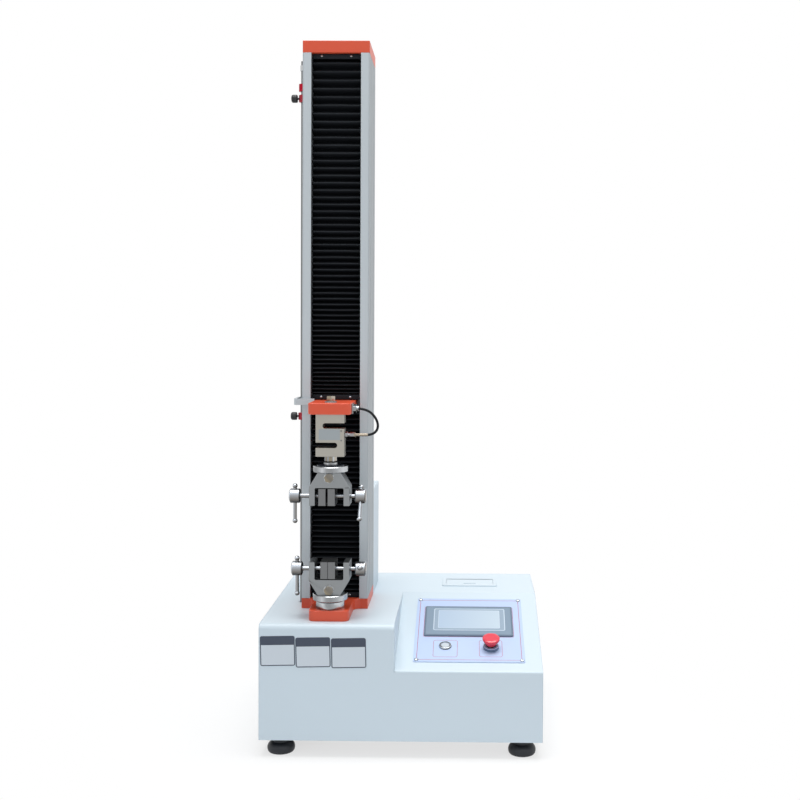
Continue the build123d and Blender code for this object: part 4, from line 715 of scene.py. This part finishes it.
# The chrome's tones are a painted reflection, as on the grips; the brass sleeve's coils are its own colour.
fitting_metal_painted_reflection = painted_reflection_metal("fitting_metal_painted_reflection", chrome_reflection_stops, 0.2)
tree = fitting_metal_painted_reflection.node_tree
shader = tree.nodes["Principled BSDF"]
place = add_node(tree, "TexCoord")
parts = add_node(tree, "SeparateXYZ")
past_nut = add_node(tree, "Math", "GREATER_THAN", {1: sleeve_from_x})
below_arm = add_node(tree, "Math", "LESS_THAN", {1: sleeve_below_z})
sleeve = add_node(tree, "Math", "MULTIPLY")
turns = add_node(tree, "Math", "MULTIPLY", {1: coil_waves})
wave = add_node(tree, "Math", "SINE")
brass = add_node(tree, "MapRange", values={
    7: (-1, -1, -1), 8: (1, 1, 1), 9: brass_dark, 10: brass_light,
})
brass.data_type = "FLOAT_VECTOR"
mixed = add_node(tree, "Mix")
mixed.data_type = "RGBA"
link_all(tree, (
    (place.outputs["Object"], parts.inputs[0]),
    (parts.outputs["X"], past_nut.inputs[0]),
    (parts.outputs["Z"], below_arm.inputs[0]),
    (past_nut.outputs[0], sleeve.inputs[0]),
    (below_arm.outputs[0], sleeve.inputs[1]),
    (parts.outputs["X"], turns.inputs[0]),
    (turns.outputs[0], wave.inputs[0]),
    (wave.outputs[0], brass.inputs[6]),
    (sleeve.outputs[0], mixed.inputs["Factor"]),
    (shader.inputs["Base Color"].links[0].from_socket, mixed.inputs[6]),
    (brass.outputs[1], mixed.inputs[7]),
    (mixed.outputs[2], shader.inputs["Base Color"]),
))
softened("cable_fittings", fitting_metal_painted_reflection, "crosshead", width=0.0003)

# Stop button's head: a mushroom of red moulded plastic, glossy, on a steel stem. It is pushed down to stop
# and turned to let go.
stop_red = grained("stop_red", (0.74, 0.045, 0.075), 0.24, size=600.0, depth=0.04)
softened("estop_head", stop_red, "estop_head", width=0.0008, segments=3)

# Limit rod and stops: crimson anodised rings, held by black moulded knobs, run on a bright steel rod whose
# top collar is crimson too. The collar is told from the rod by its height and its distance from the middle.
crimson = (0.38, 0.012, 0.028)
ring_crimson = grained("ring_crimson", crimson, 0.32, metallic=0.3)
dress(["upper_stop_ring", "lower_stop_ring"], ring_crimson)
black_plastic = grained("black_plastic", (0.011, 0.012, 0.014), 0.5)
dress(["upper_stop_knob", "lower_stop_knob"], black_plastic)
rod_low, rod_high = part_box("limit_rod")
collar_drop = 0.060
rod_reach = 0.0031
rod_steel = jaw_steel.copy()
rod_steel.name = "rod_steel"
tree = rod_steel.node_tree
shader = tree.nodes["Principled BSDF"]
place = add_node(tree, "TexCoord")
parts = add_node(tree, "SeparateXYZ")
above_low = add_node(tree, "Math", "GREATER_THAN", {1: rod_high.z - collar_drop})
flat_place = add_node(tree, "VectorMath", "MULTIPLY_ADD", {
    1: (1, 1, 0), 2: (-(rod_low.x + rod_high.x) / 2, -(rod_low.y + rod_high.y) / 2, 0),
})
reach = add_node(tree, "VectorMath", "LENGTH")
off_rod = add_node(tree, "Math", "GREATER_THAN", {1: rod_reach})
is_collar = add_node(tree, "Math", "MULTIPLY")
mixed = add_node(tree, "Mix", values={7: (*crimson, 1)})
mixed.data_type = "RGBA"
link_all(tree, (
    (place.outputs["Object"], parts.inputs[0]),
    (place.outputs["Object"], flat_place.inputs[0]),
    (flat_place.outputs[0], reach.inputs[0]),
    (reach.outputs["Value"], off_rod.inputs[0]),
    (parts.outputs["Z"], above_low.inputs[0]),
    (above_low.outputs[0], is_collar.inputs[0]),
    (off_rod.outputs[0], is_collar.inputs[1]),
    (is_collar.outputs[0], mixed.inputs["Factor"]),
    (shader.inputs["Base Color"].links[0].from_socket, mixed.inputs[6]),
    (mixed.outputs[2], shader.inputs["Base Color"]),
))
dress(["limit_rod"], rod_steel)

# Power inlet and rocker switch: moulded in black plastic and set in the housing's back, the switch above
# the inlet's pins.
dress(["power_inlet", "rocker_switch"], black_plastic)

# Panel printer: a pale moulded frame and door in the top of the base, over a roll of white paper. The door
# lifts on its hinge.
pale_plastic = grained("pale_plastic", (0.62, 0.71, 0.78), 0.4)
dress(["panel_printer", "printer_door"], pale_plastic)
paper_white = grained("paper_white", (0.82, 0.82, 0.80), 0.7)
dress(["paper_roll"], paper_white)

# Drive and boards inside the housing: a black painted motor, a toothed rubber belt, and the supply, the
# driver and the board in plain metal.
motor_black = grained("motor_black", (0.02, 0.02, 0.022), 0.45)
dress(["drive_motor"], motor_black)
rubber_black = grained("rubber_black", (0.020, 0.022, 0.026), 0.55, size=500.0, depth=0.2)
dress(["timing_belt"], rubber_black)
board_metal = grained("board_metal", (0.40, 0.41, 0.42), 0.4, metallic=0.8)
dress(["electronics"], board_metal)

# Bellows: two lengths of black coated cloth over the column's channel, pleated flat with stiffeners and glued
# to a black end plate. The upper one hangs half open from the cap, the lower one stands nearly closed under
# the arm.
# The folded edges in front are painted a little paler than the cloth between them, a painted highlight.
pleat_front = -0.0932
pleat_back = -0.0758
pleat_half_width = 0.0438
cloth_thickness = 0.0006
cloth_dark = (0.0065, 0.0080, 0.0105, 1)
cloth_fold_highlight = (0.0150, 0.0180, 0.0225, 1)
bellows_cloth = grained("bellows_cloth", (0.0088, 0.0105, 0.0145), 0.72, size=1600.0, depth=0.35, cloud=0.1)
tree = bellows_cloth.node_tree
tree.nodes["Principled BSDF"].inputs["Specular IOR Level"].default_value = 0.18
cloth_group = next(node for node in tree.nodes if node.type == "GROUP")


def tone_across(tree, axis, start, end, dark, light, target):
    """Leads a colour to an input: from dark to light between two places along an axis of the object."""
    place = add_node(tree, "TexCoord")
    parts = add_node(tree, "SeparateXYZ")
    span = add_node(tree, "MapRange", values={"From Min": start, "From Max": end})
    tones = add_node(tree, "ValToRGB")
    tones.color_ramp.elements[0].color = dark
    tones.color_ramp.elements[1].color = light
    link_all(tree, (
        (place.outputs["Object"], parts.inputs[0]),
        (parts.outputs[axis], span.inputs["Value"]),
        (span.outputs["Result"], tones.inputs["Fac"]),
        (tones.outputs["Color"], target),
    ))


# Painted highlight: the cloth turns paler over the front 2.2 mm of each fold, and of the end plates in the
# same cloth.
fold_highlight_depth = 0.0022
tone_across(
    tree, "Y", pleat_front + fold_highlight_depth, pleat_front, cloth_dark, cloth_fold_highlight, cloth_group.inputs["Colour"]
)


def pleated(name, low, high, folds, spread):
    """A pleated sheet from low to high: rows of points follow the zigzag, each tip drawn as three rows. With
    spread under 1, the folds lie closer together at the low end."""
    leg_steps = ((0.00, 0.0), (0.06, 0.0), (0.50, 0.5), (0.94, 1.0))
    belly, belly_beat = 0.0004, 2.3
    sag, sag_beat = 0.0004, 90.0
    tip_out = 0.00025
    rows = []
    legs = 2 * folds
    for leg in range(legs):
        for step, across in leg_steps:
            t = (leg + step) / legs
            z = low + (high - low) * (spread * t + (1 - spread) * t * t)
            depth = across if leg % 2 == 0 else 1 - across
            y = pleat_back + (pleat_front - pleat_back) * depth
            y += belly * math.sin(leg * belly_beat) * (1 - abs(2 * depth - 1))
            if step == 0.0:
                y += (-1 if depth > 0.5 else 1) * tip_out
            rows.append((y, z))
    rows.append((pleat_back, high))
    columns = 6
    bpy.ops.mesh.primitive_grid_add(x_subdivisions=columns, y_subdivisions=len(rows) - 1, size=1)
    sheet = bpy.context.object
    sheet.name = name
    left_x = column_x - pleat_half_width
    right_x = column_x + pleat_half_width
    for vertex in sheet.data.vertices:
        column = round((vertex.co.x + 0.5) * columns)
        y, z = rows[round((vertex.co.y + 0.5) * (len(rows) - 1))]
        x = left_x + (right_x - left_x) * column / columns
        slack = math.sin(math.pi * column / columns)
        vertex.co = (x, y, z - sag * slack * math.sin(z * sag_beat))
    sheet.modifiers.new("thickness", "SOLIDIFY").thickness = cloth_thickness
    sheet.modifiers["thickness"].offset = 0
    bpy.ops.object.modifier_apply(modifier="thickness")
    bpy.ops.object.shade_smooth_by_angle(angle=math.radians(50))
    sheet.data.materials.append(bellows_cloth)
    bpy.ops.object.select_all(action="DESELECT")
    return sheet


plate_height = 0.0090
top_plate_high = 1.2595
arm_plate_low = 0.6240
foot_plate_low = 0.2555
upper_low, upper_high = arm_plate_low + plate_height, top_plate_high - plate_height
lower_low, lower_high = foot_plate_low + plate_height, 0.6025
bellows_upper = pleated("bellows_upper", upper_low, upper_high, folds=54, spread=0.606)
bellows_lower = pleated("bellows_lower", lower_low, lower_high, folds=34, spread=1.0)
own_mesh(bellows_upper)
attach(bellows_upper, "frame")
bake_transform(bellows_lower)
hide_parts("upper_bellows")
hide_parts("lower_bellows")

# Flap and end plates of the bellows: a plain strip of the cloth stands on the arm behind the upper bellows,
# and shows when the arm goes below its usual place. Each black end plate is held by two chromed screws.
flap_low, flap_height, flap_thickness = upper_low, 0.0135, 0.0008
flap_y = -0.0743
bpy.ops.mesh.primitive_cube_add(size=1, location=(column_x, flap_y, flap_low + flap_height / 2))
flap = bpy.context.object
flap.name = "bellows_flap"
flap.scale = (2 * pleat_half_width, flap_thickness, flap_height)
finish_mesh(flap, bellows_cloth, "crosshead")
end_plates = (
    ("bellows_top_plate", "frame", top_plate_high - plate_height),
    ("bellows_arm_plate", "crosshead", arm_plate_low),
    ("bellows_foot_plate", "frame", foot_plate_low),
)
screw_spread = 0.0270
for name, body, plate_low in end_plates:
    plate_middle = plate_low + plate_height / 2
    plate_centre = (column_x, (pleat_front + pleat_back) / 2, plate_middle)
    bpy.ops.mesh.primitive_cube_add(size=1, location=plate_centre)
    end_plate = bpy.context.object
    end_plate.name = name
    end_plate.scale = (2 * pleat_half_width, pleat_back - pleat_front, plate_height)
    bpy.ops.object.transform_apply(location=True, scale=True)
    rim = end_plate.modifiers.new("rim", "BEVEL")
    rim.width = 0.0008
    rim.segments = 2
    bpy.ops.object.modifier_apply(modifier="rim")
    finish_mesh(end_plate, bellows_cloth, body)
    for side, side_name in ((-1, "left"), (1, "right")):
        screw_x = column_x + side * screw_spread
        screw_place = Matrix.Translation((screw_x, pleat_front, plate_middle)) @ facing_front
        head = turned(name.replace("plate", "screw_") + side_name, screw_profile, segments=20)
        seated(head, screw_place, chrome_painted_reflection, body)


# Label plates: three self-adhesive plates along the front's top edge, side by side and a little askew,
# each with a dark rounded border and a dark band over a pale field. Their faces are left blank.
def bordered_sheet(name, size, corner, border):
    """A rounded sheet parted into a border and a middle, left in edit mode with the middle selected."""
    sheet = rounded_sheet(name, size, corner, 6)
    bpy.ops.mesh.inset(thickness=border, depth=0)
    bpy.ops.object.mode_set(mode="OBJECT")
    for polygon in sheet.data.polygons:
        polygon.select = len(polygon.vertices) > 4
    for edge in sheet.data.edges:
        edge.select = False
    for vertex in sheet.data.vertices:
        vertex.select = False
    bpy.ops.object.mode_set(mode="EDIT")
    bpy.ops.mesh.select_mode(type="FACE")
    return sheet


plate_size = (0.0612, 0.0526)
plate_places = ((-0.2165, 0.1888), (-0.1542, 0.1868), (-0.0915, 0.1861))
plate_tilt = math.radians(-1.3)
plate_thickness = 0.0004
plate_border = 0.0017
plate_corner = 0.0034
band_share = 0.30
band_low = plate_size[1] * (0.5 - band_share)
field_reach = plate_size[0] * 0.4
least_area = 1e-4
housing_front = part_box("base_cover")[0].y
plate_dark = grained("plate_dark", (0.045, 0.060, 0.095), 0.38, size=2500.0, depth=0.05)
plate_pale = grained("plate_pale", (0.60, 0.66, 0.72), 0.38, size=2500.0, depth=0.05)
for number, (plate_x, plate_z) in enumerate(plate_places, start=1):
    plate = bordered_sheet(f"label_plate_{number}", plate_size, plate_corner, plate_border)
    bpy.ops.mesh.bisect(plane_co=(0, band_low, 0), plane_no=(0, 1, 0))
    bpy.ops.mesh.select_all(action="SELECT")
    thicken(plate_thickness)
    plate.data.materials.append(plate_dark)
    plate.data.materials.append(plate_pale)
    for polygon in plate.data.polygons:
        centre = polygon.center
        field = abs(centre.x) < field_reach and centre.y < band_low
        top = centre.z > 0.9 * plate_thickness and polygon.normal.z > 0.9
        polygon.material_index = 1 if top and field and polygon.area > least_area else 0
    plate.rotation_euler = (math.pi / 2, plate_tilt, 0)
    plate.location = (plate_x, housing_front, plate_z)
    finish_mesh(plate, None, "frame", angle=0)

# Console fascia: a printed polyester film on its sheet, with a fine line in red ink just inside its edge
# and round each button, held by four chromed oval-head screws.
fascia_film = grained("fascia_film", (0.49, 0.60, 0.83), 0.4, size=2000.0, depth=0.04, cloud=0.01)
dress(["control_panel"], fascia_film)
console_origin = Vector((0, housing_front, 0.155))
console_slope = math.atan2(0.081, 0.2485)
console_turn = Matrix.Rotation(console_slope, 4, "X")


def on_console(x, up, out):
    """A place on the console: across, up the slope and out of it."""
    return Matrix.Translation(console_origin) @ console_turn @ Matrix.Translation((x, up, out))


fascia_out = 0.0015
ink_out = 0.00004
ink_red = grained("ink_red", (0.42, 0.07, 0.15), 0.4, size=2500.0, depth=0.02)


def printed_line(name, material, centre, size, corner, width, out=fascia_out):
    """A closed printed line with rounded corners, as thin as ink."""
    piece = bordered_sheet(name, size, corner, width)
    bpy.ops.mesh.delete(type="FACE")
    bpy.ops.mesh.select_all(action="SELECT")
    thicken(ink_out)
    seated(piece, on_console(*centre, out), material, "frame", angle=0)


fascia_centre = (0.120, 0.1315)
border_size = (0.1890, 0.1970)
printed_line("ink_border", ink_red, fascia_centre, border_size, corner=0.0015, width=0.0009)
for name, centre, size, corner in (
    ("ink_round_power", (0.07675, 0.0678), (0.0441, 0.0524), 0.005),
    ("ink_round_stop", (0.1590, 0.0691), (0.0420, 0.0524), 0.005),
    ("ink_round_screen", (0.1188, 0.1555), (0.1675, 0.1015), 0.003),
):
    printed_line(name, ink_red, centre, size, corner, width=0.0007)
fascia_screw_profile = (
    (0.0037, 0.0), (0.0039, 0.0004), (0.0036, 0.0011),
    (0.0027, 0.0018), (0.0015, 0.0021), (0.0013, 0.0012),
)
# Bright steel of the fascia screws: its tones are a painted reflection, with a painted highlight near the
# top.
bright_reflection_stops = (
    (0.00, (0.08, 0.085, 0.09)), (0.40, (0.15, 0.16, 0.18)), (0.66, (0.22, 0.24, 0.27)),
    (0.84, (0.40, 0.44, 0.48)), (0.93, (0.74, 0.79, 0.84)), (1.00, (0.50, 0.54, 0.58)),
)
bright_steel_painted_reflection = painted_reflection_metal("bright_steel_painted_reflection", bright_reflection_stops, 0.3, reflection_lean=(-0.3, -0.25, 0.9))
for number, (side, end) in enumerate(((-1, -1), (-1, 1), (1, -1), (1, 1)), start=1):
    across = fascia_centre[0] + side * border_size[0] / 2
    along = fascia_centre[1] + end * border_size[1] / 2
    head = turned(f"fascia_screw_{number}", fascia_screw_profile, segments=28)
    seated(head, on_console(across, along, fascia_out), bright_steel_painted_reflection, "frame")

# Touch screen: a moulded grey-blue bezel with a sheet of clear film over its face. Behind the film are a
# shaded band, two pale printed frames and the display itself, dark or lit, here pale blue.
bezel_grey = grained("bezel_grey", (0.115, 0.165, 0.23), 0.4, size=1800.0, depth=0.1)
dress(["touch_screen"], bezel_grey)
screen_out = 0.0040
film_edge = grained("film_edge", (0.21, 0.29, 0.38), 0.22, size=2500.0, depth=0.02)
film_band = grained("film_band", (0.30, 0.385, 0.485), 0.2, size=2500.0, depth=0.02)
film_pale = grained("film_pale", (0.56, 0.66, 0.76), 0.2, size=2500.0, depth=0.02)
display_lit, tree, shader = plain_material("display_lit", (0.50, 0.62, 0.80), 0.16)
display_ends = (0.062, 0.177)
display_dim = (0.42, 0.53, 0.67, 1)
display_clear = (0.52, 0.62, 0.71, 1)
tone_across(tree, "X", *display_ends, display_dim, display_clear, shader.inputs["Base Color"])


def film_sheet(name, material, out, left, right, low, high, corner):
    """A flat film with rounded corners over the screen, by its edges across and up the console."""
    piece = rounded_sheet(name, (right - left, high - low), corner, 5)
    thicken(ink_out)
    film_place = on_console((left + right) / 2, (low + high) / 2, out)
    seated(piece, film_place, material, "frame", angle=0)


layers = [screen_out + step * ink_out for step in range(4)]
film_sheet(
    "screen_film", film_edge, layers[0], left=0.0395, right=0.1980, low=0.1100, high=0.2010, corner=0.0015
)
film_sheet(
    "screen_band", film_band, layers[1], left=0.0530, right=0.1870, low=0.1225, high=0.1960, corner=0.0040
)
printed_line(
    "frame_outer", film_pale, centre=(0.1200, 0.15925), size=(0.1340, 0.0735), corner=0.004, width=0.0016,
    out=layers[2],
)
film_sheet(
    "display_sheet", display_lit, layers[2], left=0.0625, right=0.1765, low=0.1305, high=0.1895, corner=0.0020
)
printed_line(
    "frame_inner", film_pale, centre=(0.1195, 0.1600), size=(0.1155, 0.0605), corner=0.0025, width=0.0011,
    out=layers[3],
)

# Push buttons: the power button has a satin cap in a polished ring, with a dark grey ring laid in the gap
# between as painted shade, and the stop button's collar is dark plastic whose blue tone is partly painted
# shade from the head above it. The polished ring's tones are a painted reflection. Both stand on the
# console's slope.
button_satin = drawn("button_satin", (0.50, 0.55, 0.60), 0.45, metallic=0.4, stretch=(1.0, 0.05, 1.0))
dress(["power_button"], button_satin)
stop_place = on_console(0.1595, 0.0710, 0)
power_place = on_console(0.0765, 0.0750, 0)
button_segments = 56
collar_blue_with_shade = grained("collar_blue_with_shade", (0.12, 0.16, 0.25), 0.42)
gap_painted_shade = grained("gap_painted_shade", (0.10, 0.11, 0.12), 0.5)
stop_collar = turned("stop_collar", (
    (0.0112, 0.0016), (0.0141, 0.0016), (0.0141, 0.0066), (0.0134, 0.0073),
    (0.0122, 0.00755), (0.0112, 0.00755), (0.0112, 0.0016),
), button_segments, ring=True)
seated(stop_collar, stop_place, collar_blue_with_shade, "frame")
power_ring = turned("power_ring", (
    (0.0090, 0.0016), (0.0114, 0.0016), (0.0114, 0.0036), (0.0109, 0.0046),
    (0.0100, 0.0050), (0.0091, 0.0049), (0.0090, 0.0046), (0.0090, 0.0016),
), button_segments, ring=True)
seated(power_ring, power_place, chrome_painted_reflection, "frame")
power_gap_shade = turned("power_gap_shade", (
    (0.0078, 0.0044), (0.0091, 0.0044), (0.0091, 0.0047), (0.0078, 0.0047), (0.0078, 0.0044),
), button_segments, ring=True)
seated(power_gap_shade, power_place, gap_painted_shade, "frame")
